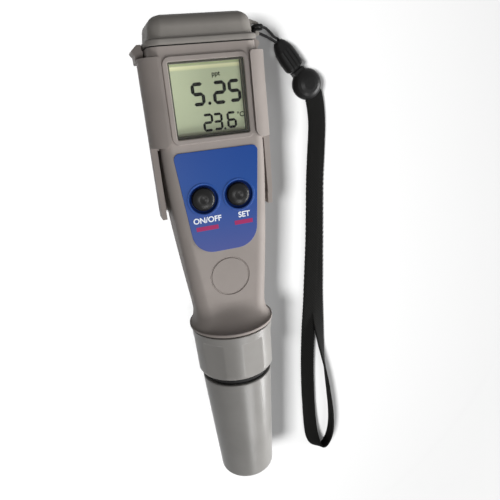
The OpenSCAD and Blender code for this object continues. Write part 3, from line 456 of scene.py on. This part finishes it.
# Cords, whose routes are the CAD source's, with the strap's roll in degrees as a fourth value
STRING_ROUTE = [
    (32.9, 78.4, 3.2), (32.2, 79.5, 3.3), (31, 80, 4.1), (29.6, 80.5, 5.6), (28.1, 81.2, 7.5),
    (25.6, 82.5, 10), (23.6, 82.9, 12), (22.3, 83, 14.2), (21.9, 82.95, 15.6), (21.1, 82.9, 16.7),
    (19.4, 82.8, 16.7), (18.9, 82.7, 15.6), (18.9, 82.5, 14.4), (19.3, 82.3, 13.3), (21, 82.1, 13.3),
    (21.65, 82, 14.1), (21.65, 81.9, 15.9), (21, 81.8, 16.7), (19.3, 81.7, 16.7), (18.9, 81.6, 15.6),
    (18.9, 81.4, 14.4), (19.4, 81.2, 13.2), (21.2, 81, 12.6), (22.9, 80.8, 11.2), (24.6, 80.4, 9.9),
    (26.4, 79.9, 8.5), (28.8, 79.2, 6.2), (30.6, 78.6, 4.6), (31.6, 78.2, 3.6), (32.1, 77.8, 3.2)]
STRAP_ROUTE = [
    (46, 60, 2.2, 0), (47.2, 55, 1.3, 0), (47.6, 48, 0.75, 0), (46.8, 38, 0.75, 0), (45.6, 26, 0.75, 0),
    (44.8, 13, 0.75, 0), (44.1, 0, 0.75, 0), (43.4, -13, 0.75, 0), (42.8, -25, 1.1, 8),
    (42.6, -36, 1.85, 22), (42.9, -46, 2.65, 42), (43.6, -56, 3.15, 62), (44.6, -66, 3.3, 76),
    (45.4, -76, 3.4, 82), (45.9, -85, 3.4, 84), (45.6, -93, 3.4, 84), (44.2, -99, 3.4, 82),
    (41.8, -102.8, 3.3, 76), (39.2, -103.4, 3.2, 64), (37, -101, 2.8, 46), (35.8, -96, 2.3, 24),
    (35.4, -89, 2, 8), (35.3, -81, 1.9, 0), (35.4, -72, 1.9, 0), (35.7, -62, 2, 0), (36.4, -51, 2.1, 0),
    (37.5, -39, 2.2, 0), (38.9, -27, 2.3, 0), (40.2, -14, 2.4, 0), (41.5, -1, 2.5, 0),
    (42.5, 12, 2.6, 0), (43.4, 25, 2.7, 0), (44.6, 37, 2.8, 0), (45.6, 47, 3, 0), (45.3, 54, 3.4, 0),
    (44.2, 59.5, 3.9, 0)]


def spline(points, per):
    """Catmull-Rom points through a route, of any number of values each."""
    out = []
    last = len(points) - 1
    for i in range(last):
        p0, p1, p2, p3 = points[max(i - 1, 0)], points[i], points[i + 1], points[min(i + 2, last)]
        for s in range(per):
            t = s / per
            out.append(tuple(0.5 * (2 * b + (c - a) * t + (2 * a - 5 * b + 4 * c - d) * t * t
                                    + (3 * b - a - 3 * c + d) * t ** 3)
                             for a, b, c, d in zip(p0, p1, p2, p3)))
    out.append(tuple(points[-1]))
    return out


def stations(route):
    """Place, rolled directions across and over, and length so far, at each point of a route."""
    out = []
    run = 0.0
    for i, p in enumerate(route):
        place = Vector(p[:3])
        before = Vector(route[max(i - 1, 0)][:3])
        after = Vector(route[min(i + 1, len(route) - 1)][:3])
        run += (place - before).length
        along = (after - before).normalized()
        across = along.cross(Vector((0, 0, 1))).normalized()
        over = across.cross(along)
        roll = math.radians(p[3]) if len(p) > 3 else 0
        out.append((place, across * math.cos(roll) + over * math.sin(roll),
                    over * math.cos(roll) - across * math.sin(roll), run))
    return out


def add_string():
    """The thin braided string, as a round strand with a twisted surface."""
    radius, ridge, strands, twist, sides = 0.47, 0.03, 4, 4.2, 12
    route = spline(STRING_ROUTE, 8)
    rows = []
    for place, across, over, run in stations(route):
        row = []
        for k in range(sides):
            a = TAU * k / sides
            r = radius + ridge * math.cos(strands * a + run * twist)
            row.append(tuple(place + across * (r * math.cos(a)) + over * (r * math.sin(a))))
        rows.append(row)
    obj = make("lanyard_string_braid", grid(rows), "battery_cover", "string", sharp=60,
               replaces=["lanyard_string"])


def add_run(obj, points, places):
    """Gives a surface the length and width coordinates, in metres, that were worked out for its points."""
    layer = obj.data.uv_layers.new(name="run")
    search = kdtree.KDTree(len(points))
    for i, p in enumerate(points):
        search.insert(Vector(p) * MM, i)
    search.balance()
    for loop in obj.data.loops:
        _, i, _ = search.find(obj.data.vertices[loop.vertex_index].co)
        layer.data[loop.index].uv = places[i]


def strap_section(half_w, half_t, edge_thin=0.25, edge_power=6, steps=16):
    """Outline across the webbing, thinner towards its edges."""
    front = []
    for i in range(steps + 1):
        x = half_w * (1 - 2 * i / steps)
        front.append((x, half_t * (1 - edge_thin * (abs(x) / half_w) ** edge_power)))
    return front + [(-x, -z) for x, z in front]


def add_strap():
    """Woven webbing with small loops along its edges."""
    half_w, half_t = 2.88, 0.5
    loop_w, loop_pitch, loop_from = 0.24, 1.9, 0.85
    route = spline(STRAP_ROUTE, 20)
    rows = []
    places = []
    for place, across, over, run in stations(route):
        row = []
        for x, z in strap_section(half_w, half_t):
            edge = max(0.0, abs(x) / half_w - loop_from) / (1 - loop_from)
            bulge = loop_w * edge * math.cos(run * TAU / loop_pitch)
            row.append(tuple(place + across * (x + math.copysign(bulge, x)) + over * z))
            places.append((run * MM, x * MM))
        rows.append(row)
    shape = grid(rows)
    obj = make("wrist_strap_webbing", shape, "strap", "strap", sharp=50, replaces=["wrist_strap"])
    add_run(obj, shape[0], places)


# Housing: its flange and cove, and how its section changes from the head to the neck
FLANGE_T, FLANGE_R, RIM_R, COVE_Y, COVE_L = 1.1, 15.9, 15.55, -9.4, 9.2
TAPER_POWER, NECK_BACK_Z, BACK_RISE_FROM = 1.45, 6, 0.4
CORNER_R, CORNER_GROWTH, INNER_CORNER_R = 3.5, 1.5, 0.8
HOUSING_SIDES, HOUSING_SHARP = 360, 28
FARTHEST, HALVINGS = 40.0, 30
# Window opening, and the button bores with the recesses round them
VIEW_HW, VIEW_Y0, VIEW_Y1 = 12.3, 49.75, 73.45
KEY_BORE_R, RECESS_R = 4.1, 5.05
# Heights that the front's cutters use: inside the wall, on the ledge under the front, and above it all
INSIDE_Z, LEDGE_Z, ABOVE_Z = 19, 21.8, 25


def section_at(y):
    """Half width, back, front and corner radius of the housing."""
    t = max(0.0, min(1.0, (Y_TAPER - y) / (Y_TAPER - Y_NECK)))
    half_w = HEAD_HW - (HEAD_HW - NECK_HW) * t ** TAPER_POWER
    back = BACK_Z + (NECK_BACK_Z - BACK_Z) * max(0.0, (t - BACK_RISE_FROM) / (1 - BACK_RISE_FROM))
    return half_w, back, FRONT_Z, CORNER_R + CORNER_GROWTH * t


def reach(y, dx, dz, inset=0.0):
    """Distance from the collar's axis to the housing's surface along a direction across X and Z."""
    half_w, back, front, corner = section_at(y)
    half_w, back, front = half_w - inset, back + inset, front - inset
    corner = max(corner - inset, INNER_CORNER_R)
    middle, half_h = (back + front) / 2, (front - back) / 2
    low, high = 0.0, FARTHEST
    for _ in range(HALVINGS):
        mid = (low + high) / 2
        out_x = abs(dx * mid) - (half_w - corner)
        out_z = abs(AXIS_Z + dz * mid - middle) - (half_h - corner)
        inside = math.hypot(max(out_x, 0), max(out_z, 0)) + min(max(out_x, out_z), 0) < corner
        low, high = (mid, high) if inside else (low, mid)
    return low


def cove_share(y):
    """How far the neck's section has blended into the flange's circle, from 0 to 1."""
    s = max(0.0, min(1.0, (COVE_Y - y) / COVE_L))
    return 1 - math.sqrt(1 - s * s)


def shell_row(y, inset=0.0, share=0.0):
    """The housing's section as a ring, set in or blended into the flange's circle."""
    row = []
    for dx, _, dz in circle(1, y, HOUSING_SIDES, z=0):
        r = reach(y, dx, dz, inset)
        r += (RIM_R - r) * share
        row.append((dx * r, y, AXIS_Z + dz * r))
    return row


def collar_rows():
    """Rings from the collar's bore round the spigot, with low ridges, and out over the flange."""
    bore_r, hollow_r, spigot_l = 5.0, 10.4, 12.8
    foot_r, spigot_r, ridge_r, fillet = 12.0, 12.25, 12.6, 0.2
    low_round, high_round, middle = 0.3, 0.2, 0.3
    top, foot = Y_FLANGE + FLANGE_T, Y_FLANGE - spigot_l
    profile = [(bore_r, Y_NECK + 1), (bore_r, top), (hollow_r, top), (hollow_r, foot), (foot_r, foot)]
    for k in range(12):
        profile.append((ridge_r if k % 4 in (1, 2) else spigot_r, foot + 0.6 + k))
    profile += [(spigot_r, Y_FLANGE - fillet), (spigot_r + 0.25, Y_FLANGE), (FLANGE_R - low_round, Y_FLANGE),
                (FLANGE_R - low_round * middle, Y_FLANGE + low_round * middle),
                (FLANGE_R, Y_FLANGE + low_round), (FLANGE_R, top - high_round),
                (FLANGE_R - high_round * middle, top - high_round * middle),
                (FLANGE_R - high_round, top), (RIM_R, top)]
    return [circle(r, y, HOUSING_SIDES) for r, y in profile]


def add_housing():
    """The hollow housing from its collar to its mouth, with the window frame and what is cut out."""
    wall, step = 1.8, 1.9
    ys = [COVE_Y - COVE_L * math.sin(math.radians(a)) for a in range(90, -1, -3)]
    ys += [COVE_Y + 0.8, COVE_Y + 1.8]
    while ys[-1] < Y_MOUTH - 2.4:
        ys.append(ys[-1] + step)
    ys.append(Y_MOUTH)
    inner_ys = (Y_MOUTH, 60, Y_TAPER, 30, 15, 0, Y_NECK + 1)
    rows = collar_rows()
    rows += [shell_row(y, share=cove_share(y)) for y in ys]
    rows += [shell_row(y, inset=wall) for y in inner_ys]
    obj = make("housing_shell", grid(rows, loop=True), "housing", "housing", sharp=HOUSING_SHARP,
               replaces=["main_housing"])
    cut(obj, [frame_block()], HOUSING_SHARP, "UNION")
    cut(obj, front_cutters(), HOUSING_SHARP)
    even(obj)


def frame_block():
    """Raised frame round the window, with a rolled outer edge."""
    border, corner = 1.7, 2.6
    half_w, y0, y1 = VIEW_HW + border, VIEW_Y0 - border, VIEW_Y1 + border
    edge = ((0, FRONT_Z - 0.4), (0, FRAME_Z - 0.42), (0.06, FRAME_Z - 0.22), (0.18, FRAME_Z - 0.08),
            (0.36, FRAME_Z))
    return grid([flat_ring(half_w - inset, y0 + inset, y1 - inset, corner - inset, z) for inset, z in edge])


def front_cutters():
    """What is cut out of the front: the window, the button bores with their recesses, and a round groove."""
    ledge = 0.6
    edge = ((-ledge, INSIDE_Z, 0.3), (-ledge, LEDGE_Z, 0.3), (0, LEDGE_Z, 0.6), (0, FRAME_Z - 0.25, 0.6),
            (0.07, FRAME_Z - 0.1, 0.65), (0.25, FRAME_Z, 0.8), (0.25, ABOVE_Z, 0.8))
    window = [flat_ring(VIEW_HW + grow, VIEW_Y0 - grow, VIEW_Y1 + grow, r, z, 6) for grow, z, r in edge]
    shapes = [grid(window)]
    bore = [(KEY_BORE_R, INSIDE_Z), (KEY_BORE_R, LEDGE_Z), (RECESS_R, LEDGE_Z), (RECESS_R, ABOVE_Z)]
    shapes += [upright(bore, x, y, loop=False) for x, y, _ in BUTTONS]
    groove_r, groove_y, depth = 7.0, 0.25, 0.35
    side = ((0.35, ABOVE_Z), (0.35, FRONT_Z + 0.02), (0.22, FRONT_Z - 0.26))
    groove = [(groove_r - w, z) for w, z in side] + [(groove_r, FRONT_Z - depth)]
    groove += [(groove_r + w, z) for w, z in reversed(side)]
    shapes.append(upright(groove, 0, groove_y))
    return shapes


def add_bosses():
    """Bosses inside the housing for the cover screws."""
    bore_r, boss_r, depth = 1.05, 1.6, 13
    profile = [(bore_r, Y_MOUTH - depth), (boss_r, Y_MOUTH - depth), (boss_r, Y_MOUTH), (bore_r, Y_MOUTH)]
    bosses = [revolved(profile, 32, side * x, z) for x, z in SCREWS for side in (-1, 1)]
    make("screw_bosses", join(bosses), "housing", "housing")


# Battery cover, with sections of half width, back, front and corner radius
COVER_SHARP = 40


def cover_row(section, y, inset=0.0):
    """A section of the cover as a ring, set in by an inset."""
    half_w, back, front, r = section
    return [(x, y, z) for x, z in rounded(half_w - inset, back + inset, front - inset, r - inset, 12)]


def add_cover():
    """Cover with a hollow skirt that enters the housing, a lip over the seam and a rounded top."""
    wall, skirt_l, ceiling, top_round = 1.2, 2.6, 2.5, 4.0
    skirt = (11.7, 4.1, 20.5, 2)
    hollow = (11.7 - wall, 4.1 + wall, 20.5 - wall, 2 - wall / 2)
    lip = (17.9, 1.1, 24.1, 4.1)
    side = (16.9, 1.6, 23.2, 4.0)
    top = (16.5, 1.6, 23.2, 4.0)
    lip_edge = ((0, 0.4), (0.1, 0.12), (0.4, 0), (1.25, 0), (1.6, 0.12), (1.78, 0.4))
    rows = [cover_row(hollow, Y_TOP - ceiling), cover_row(hollow, Y_SEAM - skirt_l),
            cover_row(skirt, Y_SEAM - skirt_l), cover_row(skirt, Y_SEAM)]
    rows += [cover_row(lip, Y_SEAM + rise, inset) for rise, inset in lip_edge]
    rows += [cover_row(side, Y_SEAM + 1.82, -0.14), cover_row(side, Y_SEAM + 2.1)]
    for a in range(0, 91, 6):
        inset = min(top_round * (1 - math.cos(math.radians(a))), top_round - 0.04)
        rows.append(cover_row(top, Y_TOP - top_round + top_round * math.sin(math.radians(a)), inset))
    obj = make("battery_cover_shell", grid(rows), "battery_cover", "cover", sharp=COVER_SHARP,
               replaces=["top_cover"])
    bore_r, head_r, head_depth = 1.15, 1.65, 2.8
    bore = [(bore_r, Y_SEAM - 1), (bore_r, Y_TOP - head_depth), (head_r, Y_TOP - head_depth),
            (head_r, Y_TOP + 1)]
    holes = [revolved(bore, 32, side * x, z, loop=False) for x, z in SCREWS for side in (-1, 1)]
    cut(obj, holes, COVER_SHARP)
    even(obj)


def add_lug():
    """Side lug with a slot and a bar for the string."""
    outline = [(15.6, 79.95), (20.6, 79.95), (20.9, 80.25), (20.9, 83.7), (20.7, 84.05), (18.1, 85.05),
               (15.6, 85.05)]
    slot = [(18.2, 80.65), (19.6, 80.65), (19.6, 83.65), (18.2, 83.65)]
    z0, z1, soft = 14.1, 15.9, 0.25
    cx = sum(x for x, _ in outline) / len(outline)
    cy = sum(y for _, y in outline) / len(outline)
    rows = []
    for inset, z in ((soft, z0), (0, z0 + soft), (0, z1 - soft), (soft, z1)):
        rows.append([(x + math.copysign(inset, cx - x), y + math.copysign(inset, cy - y), z)
                     for x, y in outline])
    obj = make("lanyard_lug", grid(rows), "battery_cover", "cover", sharp=COVER_SHARP)
    cut(obj, [slab(slot, 13, 17)], COVER_SHARP)
    even(obj)


# Ring, cap and its seal
def soft_min(a, b, k):
    """The smaller of two values, blended where they differ by less than k."""
    h = max(0.0, min(1.0, 0.5 + 0.5 * (b - a) / k))
    return b * (1 - h) + a * h - k * h * (1 - h)


def add_ring():
    """Clamping ring with shallow grip flats that start below its top rim."""
    low_r, high_r, length = 14.7, 15.3, Y_RING_TOP - Y_RING
    foot_round, head_round = 1.6, 0.3
    bore_r, lip_r, lip_t = 12.75, 11.85, 2
    flat_in, flat_span, flat_turn, blend = 0.6, 60, 15, 0.12
    flat_top, step_h, step_l = Y_RING_TOP - 2.7, 3.0, 0.09
    n = 288

    def outer(y):
        """Radius of the ring between its flats."""
        if y > Y_RING_TOP - head_round:
            rise = y - Y_RING_TOP + head_round
            return high_r - head_round + math.sqrt(max(head_round ** 2 - rise ** 2, 0))
        if y < Y_RING + foot_round:
            sink = Y_RING + foot_round - y
            return low_r - foot_round + math.sqrt(max(foot_round ** 2 - sink ** 2, 0))
        return low_r + (high_r - low_r) * (y - Y_RING) / length

    ys = [Y_RING + foot_round * (1 - math.cos(math.radians(a))) for a in range(0, 91, 10)]
    ys += [Y_RING + d for d in (2.4, 4, 6, 8, 10, 12, 13.5, 14.6, 14.9, 15.1, 15.25, 15.4, 15.5, 15.6, 15.75,
                                16, 16.4, 17, 17.5)]
    ys += [Y_RING_TOP - head_round * (1 - math.sin(math.radians(a))) for a in range(0, 91, 15)]
    bore = ((bore_r, Y_RING_TOP), (bore_r, Y_RING + lip_t), (lip_r, Y_RING + lip_t), (lip_r, Y_RING))
    rows = [circle(r, y, n) for r, y in bore]
    for y in ys:
        plane = high_r - flat_in - (high_r - low_r) * (Y_RING_TOP - y) / length
        if y > flat_top - 1.5:
            plane += step_h / (1 + math.exp(-(y - flat_top) / step_l))
        row = []
        for k in range(n):
            a = TAU * k / n
            off = (math.degrees(a) - flat_turn + flat_span / 2) % flat_span - flat_span / 2
            r = soft_min(outer(y), plane / math.cos(math.radians(off)), blend)
            row.append((r * math.sin(a), y, AXIS_Z + r * math.cos(a)))
        rows.append(row)
    make("clamp_ring", grid(rows, loop=True), "ring", "ring", sharp=40, replaces=["threaded_ring"])


def add_cap():
    """Thin tapered cap with a rounded end and a rounded rim."""
    end_r, rim_r, end_round, wall, floor_t = 10.7, 13.5, 2, 1.5, 1.5
    slope = (rim_r - end_r) / (Y_RIM - Y_END)
    inner_end, inner_rim = end_r - wall, rim_r - wall
    profile = [(CORE_R, Y_END)] + arc(end_r - end_round, Y_END + end_round, end_round, 270, 360, 12)
    profile += [(rim_r - slope * 0.6, Y_RIM - 0.6), (rim_r - 0.06, Y_RIM - 0.2), (rim_r - 0.2, Y_RIM - 0.05),
                (rim_r - 0.4, Y_RIM), (inner_rim + 0.3, Y_RIM), (inner_rim + 0.08, Y_RIM - 0.08),
                (inner_rim, Y_RIM - 0.3), (inner_end + slope * 2.5, Y_END + 2.5),
                (inner_end - 0.8, Y_END + 1.6), (inner_end - 1.2, Y_END + floor_t), (CORE_R, Y_END + floor_t)]
    make("cap_shell", revolved(profile, 192), "cap", "cap", sharp=40, replaces=["protective_cap"])


def add_cap_seal():
    """Rubber ring with a swelled face in the gap between the cap and the clamping ring."""
    side = ((11.72, 0.2), (12.2, 0.2), (12.5, 0.5))
    profile = [(r, Y_RIM + gap) for r, gap in side] + [(12.6, (Y_RIM + Y_RING) / 2)]
    profile += [(r, Y_RING - gap) for r, gap in reversed(side)]
    make("cap_seal_ring", revolved(profile, 128), "probe", "gasket", sharp=40, replaces=["cap_seal"])


# Buttons, label and display
def add_buttons():
    """Rubber buttons: a stem and a flange under a dome with a shallow dish in its top."""
    stem_r, flange_r, r = 1.6, 4.7, 4.0
    stem_z, flange_z, flange_top = 19.7, 20.0, 20.7
    dome_z, rise, skirt, bow = FRONT_Z + 0.1, 1.3, 0.35, 0.72
    steps, dish_r, dish_depth, dish_steps = 14, 1.6, 0.22, 12
    profile = [(CORE_R, stem_z), (stem_r, stem_z), (stem_r, flange_z), (flange_r, flange_z),
               (flange_r, flange_top), (r, flange_top), (r, dome_z - skirt)]
    for i in range(steps - 3):
        a = math.pi / 2 * i / steps
        profile.append((r * math.cos(a) ** bow + CORE_R, dome_z - skirt + (rise + skirt) * math.sin(a)))
    for k in range(dish_steps + 1):
        share = 1 - k / dish_steps
        sink = dish_depth * math.cos(math.pi / 2 * share) ** 2
        profile.append((dish_r * share + CORE_R, dome_z + rise - 0.02 - sink))
    for x, y, name in BUTTONS:
        make(f"{name}_dome", upright(profile, x, y), f"{name}_key", "button", sharp=40,
             replaces=[f"{name}_button"])


LABEL_TOP, LABEL_L, LABEL_HW, LABEL_END_HW, LABEL_END_R, LABEL_TOP_R = 45.55, 35.2, 14.4, 11.8, 7.6, 2.0
LABEL_Z = FRONT_Z + 0.3
PRINT_Z = LABEL_Z + 0.02


def label_outline(inset):
    """Outline of the label, narrower and rounder at its lower end, set in by an inset."""
    low_y = LABEL_TOP - LABEL_L + LABEL_END_R
    high_y = LABEL_TOP - LABEL_TOP_R
    low_x, high_x = LABEL_END_HW - LABEL_END_R, LABEL_HW - LABEL_TOP_R
    lean = math.degrees(math.atan((LABEL_HW - LABEL_END_HW) / (LABEL_L - LABEL_END_R - LABEL_TOP_R)))
    corners = ((high_x, high_y, LABEL_TOP_R, -lean, 90), (-high_x, high_y, LABEL_TOP_R, 90, 180 + lean),
               (-low_x, low_y, LABEL_END_R, 180 + lean, 270), (low_x, low_y, LABEL_END_R, 270, 360 - lean))
    return [p for x, y, r, start, end in corners for p in arc(x, y, r - inset, start, end, 12)]


def add_label():
    """The label's film, and a dish with a bead round it for each button."""
    edge = ((0, FRONT_Z), (0, LABEL_Z - 0.12), (0.03, LABEL_Z - 0.04), (0.12, LABEL_Z))
    rows = [[(x, y, z) for x, y in label_outline(inset)] for inset, z in edge]
    obj = make("control_film", grid(rows), "housing", "label", sharp=35, replaces=["control_label"])
    hole = [(4.98, 22), (4.98, 24)]
    cut(obj, [upright(hole, x, y, loop=False) for x, y, _ in BUTTONS], 35)
    even(obj)
    dish = [(5.0, LEDGE_Z), (4.12, LEDGE_Z), (4.12, 21.95), (4.3, 22.0), (4.6, 22.2), (4.82, 22.5),
            (4.9, 22.8), (5.0, LABEL_Z)]
    bead_r, bead_half_w, bead_h, bead_foot = 5.42, 0.34, 0.13, LABEL_Z - 0.05
    bead = [(bead_r - bead_half_w, bead_foot)]
    for k in range(8, -1, -1):
        a = math.pi * k / 8
        bead.append((bead_r + bead_half_w * math.cos(a), LABEL_Z + 0.02 + bead_h * math.sin(a)))
    bead.append((bead_r + bead_half_w, bead_foot))
    for x, y, name in BUTTONS:
        make(f"{name}_dish", upright(dish, x, y), "housing", "label", "dish", sharp=50)
        make(f"{name}_bead", upright(bead, x, y), "housing", "label", sharp=60)


def add_text(name, words, x, y, z, height, look):
    """Flat print on the housing, made from letters to a mesh."""
    size_share, half_thickness, swell = 1.4, 0.012, 0.06
    curve = bpy.data.curves.new(name, "FONT")
    curve.body = words
    curve.size = height * size_share * MM
    curve.align_x = "CENTER"
    curve.align_y = "CENTER"
    curve.extrude = half_thickness * MM
    curve.offset = swell * MM
    letters = placed(name, curve)
    letters.location = mm(x, y, z)
    bpy.context.view_layer.update()
    mesh = evaluated_mesh(letters)
    mesh.transform(letters.matrix_world)
    bpy.data.objects.remove(letters)
    mesh.materials.clear()
    mesh.materials.append(MATS[look])
    made = placed(name, mesh)
    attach(made, "housing")


# Which of the seven bars each digit shows, the digits by lower left corner, size and bar width, and the
# decimal points by centre and radius
LIT = {"2": "abged", "3": "abgcd", "5": "afgcd", "6": "afgedc"}
DIGITS = (("5", -4.75, 60.1, 3.3, 6.25, 1.12), ("2", 2.35, 60.1, 3.5, 6.25, 1.12),
          ("5", 7.6, 60.3, 3.3, 6.15, 1.12), ("2", -2.2, 51.6, 2.75, 4.95, 0.82),
          ("3", 1.2, 51.7, 2.6, 4.8, 0.82), ("6", 6.0, 51.9, 2.6, 4.6, 0.82))
POINTS = ((0.44, 60.15, 0.55), (4.75, 51.6, 0.38))
GLASS_Z = 19.6


def bar(x0, y0, x1, y1, width, gap=0.02):
    """Outline of a bar with pointed ends between two places."""
    along = Vector((x1 - x0, y1 - y0)).normalized()
    side = Vector((-along.y, along.x)) * width / 2
    tip = along * (width / 2)
    a, b = Vector((x0, y0)) + along * gap, Vector((x1, y1)) - along * gap
    return [(p.x, p.y) for p in (a, a + tip - side, b - tip - side, b, b - tip + side, a + tip + side)]


def digit(char, x, y, w, h, width, low, high):
    """Bars of a seven-segment digit, as plates."""
    x1, y1, middle = x + w, y + h, y + h / 2
    bars = {"a": (x, y1, x1, y1), "b": (x1, middle, x1, y1), "c": (x1, y, x1, middle), "d": (x, y, x1, y),
            "e": (x, y, x, middle), "f": (x, middle, x, y1), "g": (x, middle, x1, middle)}
    return [slab(bar(*bars[name], width), low, high) for name in LIT[char]]


def add_display():
    """Dark figures and faint units on the display's glass."""
    low, high = GLASS_Z + 0.005, GLASS_Z + 0.03
    shapes = []
    for char, x, y, w, h, width in DIGITS:
        shapes += digit(char, x, y, w, h, width, low, high)
    for x, y, r in POINTS:
        dot = [(x + r * math.cos(TAU * k / 16), y + r * math.sin(TAU * k / 16)) for k in range(16)]
        shapes.append(slab(dot, low, high))
    make("display_figures", join(shapes), "housing", "display", "ink", sharp=40)
    add_text("display_unit", "ppt", 3.45, 69.1, GLASS_Z + 0.02, 1.5, "ink_faint")
    add_text("display_degrees", "°C", 10.5, 55.6, GLASS_Z + 0.02, 1.6, "ink_faint")


def add_print():
    """The buttons' names, and a red bar under each."""
    height, half_h = 1.95, 0.75
    add_text("print_power", "ON/OFF", -5.8, 22.15, PRINT_Z, height, "print")
    add_text("print_set", "SET", 7.4, 22.1, PRINT_Z, height, "print")
    for name, x0, x1, y in (("power", -10.0, -2.2, 19.3), ("set", 3.7, 10.3, 19.5)):
        outline = [(x0, y - half_h), (x1, y - half_h), (x1, y + half_h), (x0, y + half_h)]
        make(f"print_bar_{name}", slab(outline, LABEL_Z, PRINT_Z), "housing", "label", "print_red")


# Stage
FLOOR_HALF, FADE_FROM, FADE_TO = 2500, 170, 340
FLOOR_TONE, FLOOR_GLOW, FLOOR_BOUNCE = 0.25, 0.04, 0.04
WORLD_FILL = 0.07


def seen_rays(tree):
    """1 for the rays that show a background: camera, glossy and transmission rays."""
    path = add_node(tree, "LightPath")
    last = path.outputs["Is Camera Ray"]
    for name in ("Is Glossy Ray", "Is Transmission Ray"):
        both = add_node(tree, "Math", operation="MAXIMUM")
        tree.links.new(last, both.inputs[0])
        tree.links.new(path.outputs[name], both.inputs[1])
        last = both.outputs["Value"]
    return last


def floor_material():
    """White floor that keeps the shadows near the object, and throws little light back at it."""
    m, tree, shader = node_material("floor_white")
    tree.nodes.remove(shader)
    link = tree.links.new
    pale = add_node(tree, "BsdfDiffuse", {"Color": grey(FLOOR_TONE)})
    glow = add_node(tree, "Emission", {"Strength": FLOOR_GLOW})
    near = add_node(tree, "AddShader")
    far = add_node(tree, "Emission", {"Strength": 1})
    quiet = add_node(tree, "BsdfDiffuse", {"Color": grey(FLOOR_BOUNCE)})
    place = add_node(tree, "TexCoord")
    distance = add_node(tree, "VectorMath", operation="LENGTH")
    fade = add_node(tree, "MapRange", {"From Min": FADE_FROM * MM, "From Max": FADE_TO * MM})
    spread = add_node(tree, "MixShader")
    mix = add_node(tree, "MixShader")
    link(place.outputs["Object"], distance.inputs[0])
    link(distance.outputs["Value"], fade.inputs["Value"])
    link(pale.outputs["BSDF"], near.inputs[0])
    link(glow.outputs["Emission"], near.inputs[1])
    link(fade.outputs["Result"], spread.inputs["Fac"])
    link(near.outputs["Shader"], spread.inputs[1])
    link(far.outputs["Emission"], spread.inputs[2])
    link(seen_rays(tree), mix.inputs["Fac"])
    link(quiet.outputs["BSDF"], mix.inputs[1])
    link(spread.outputs["Shader"], mix.inputs[2])
    link(mix.outputs["Shader"], tree.nodes["Material Output"].inputs["Surface"])
    return m


def add_floor():
    """The floor that the object lies on."""
    half = FLOOR_HALF
    corners = [(-half, -half, 0), (half, -half, 0), (half, half, 0), (-half, half, 0)]
    floor = mesh_object("floor", (corners, [(0, 1, 2, 3)]))
    floor.data.materials.append(floor_material())


def add_world():
    """White background that gives the object only a little light."""
    world = bpy.context.scene.world or bpy.data.worlds.new("world")
    bpy.context.scene.world = world
    world.use_nodes = True
    tree = world.node_tree
    background = tree.nodes["Background"]
    background.inputs["Color"].default_value = grey(1)
    shown = add_node(tree, "MapRange", {"To Min": WORLD_FILL})
    tree.links.new(seen_rays(tree), shown.inputs["Value"])
    tree.links.new(shown.outputs["Result"], background.inputs["Strength"])


def add_lamp(name, at, target, size, power, floor_only=False):
    """Rectangular lamp aimed at a place, which can be kept to the floor alone."""
    data = bpy.data.lights.new(name, "AREA")
    data.shape = "RECTANGLE"
    data.size, data.size_y = size[0] * MM, size[1] * MM
    data.energy = power
    lamp = placed(name, data)
    lamp.location = mm(*at)
    lamp.rotation_euler = (mm(*target) - mm(*at)).to_track_quat("-Z", "Y").to_euler()
    if floor_only:
        lit = bpy.data.collections.new("floor_only")
        lit.objects.link(bpy.data.objects["floor"])
        lamp.light_linking.receiver_collection = lit


dress_nodes()
add_camera()
add_string()
add_strap()
add_housing()
add_bosses()
add_cover()
add_lug()
add_ring()
add_cap()
add_cap_seal()
add_buttons()
add_label()
add_display()
add_print()
soften("rear_cradle", 0.3)

add_floor()
add_world()
add_lamp("main", (-62, -50, 700), (0, 0, 15), (140, 140), 1.55)
add_lamp("front", (170, -450, 540), (0, 0, 15), (260, 200), 2.3)
add_lamp("strip", (580, -190, 150), (0, -10, 15), (520, 120), 5.0)
add_lamp("floor_lamp", (-370, 90, 520), (0, 0, 0), (150, 150), 18.0, floor_only=True)

bpy.context.scene.view_settings.view_transform = "Standard"
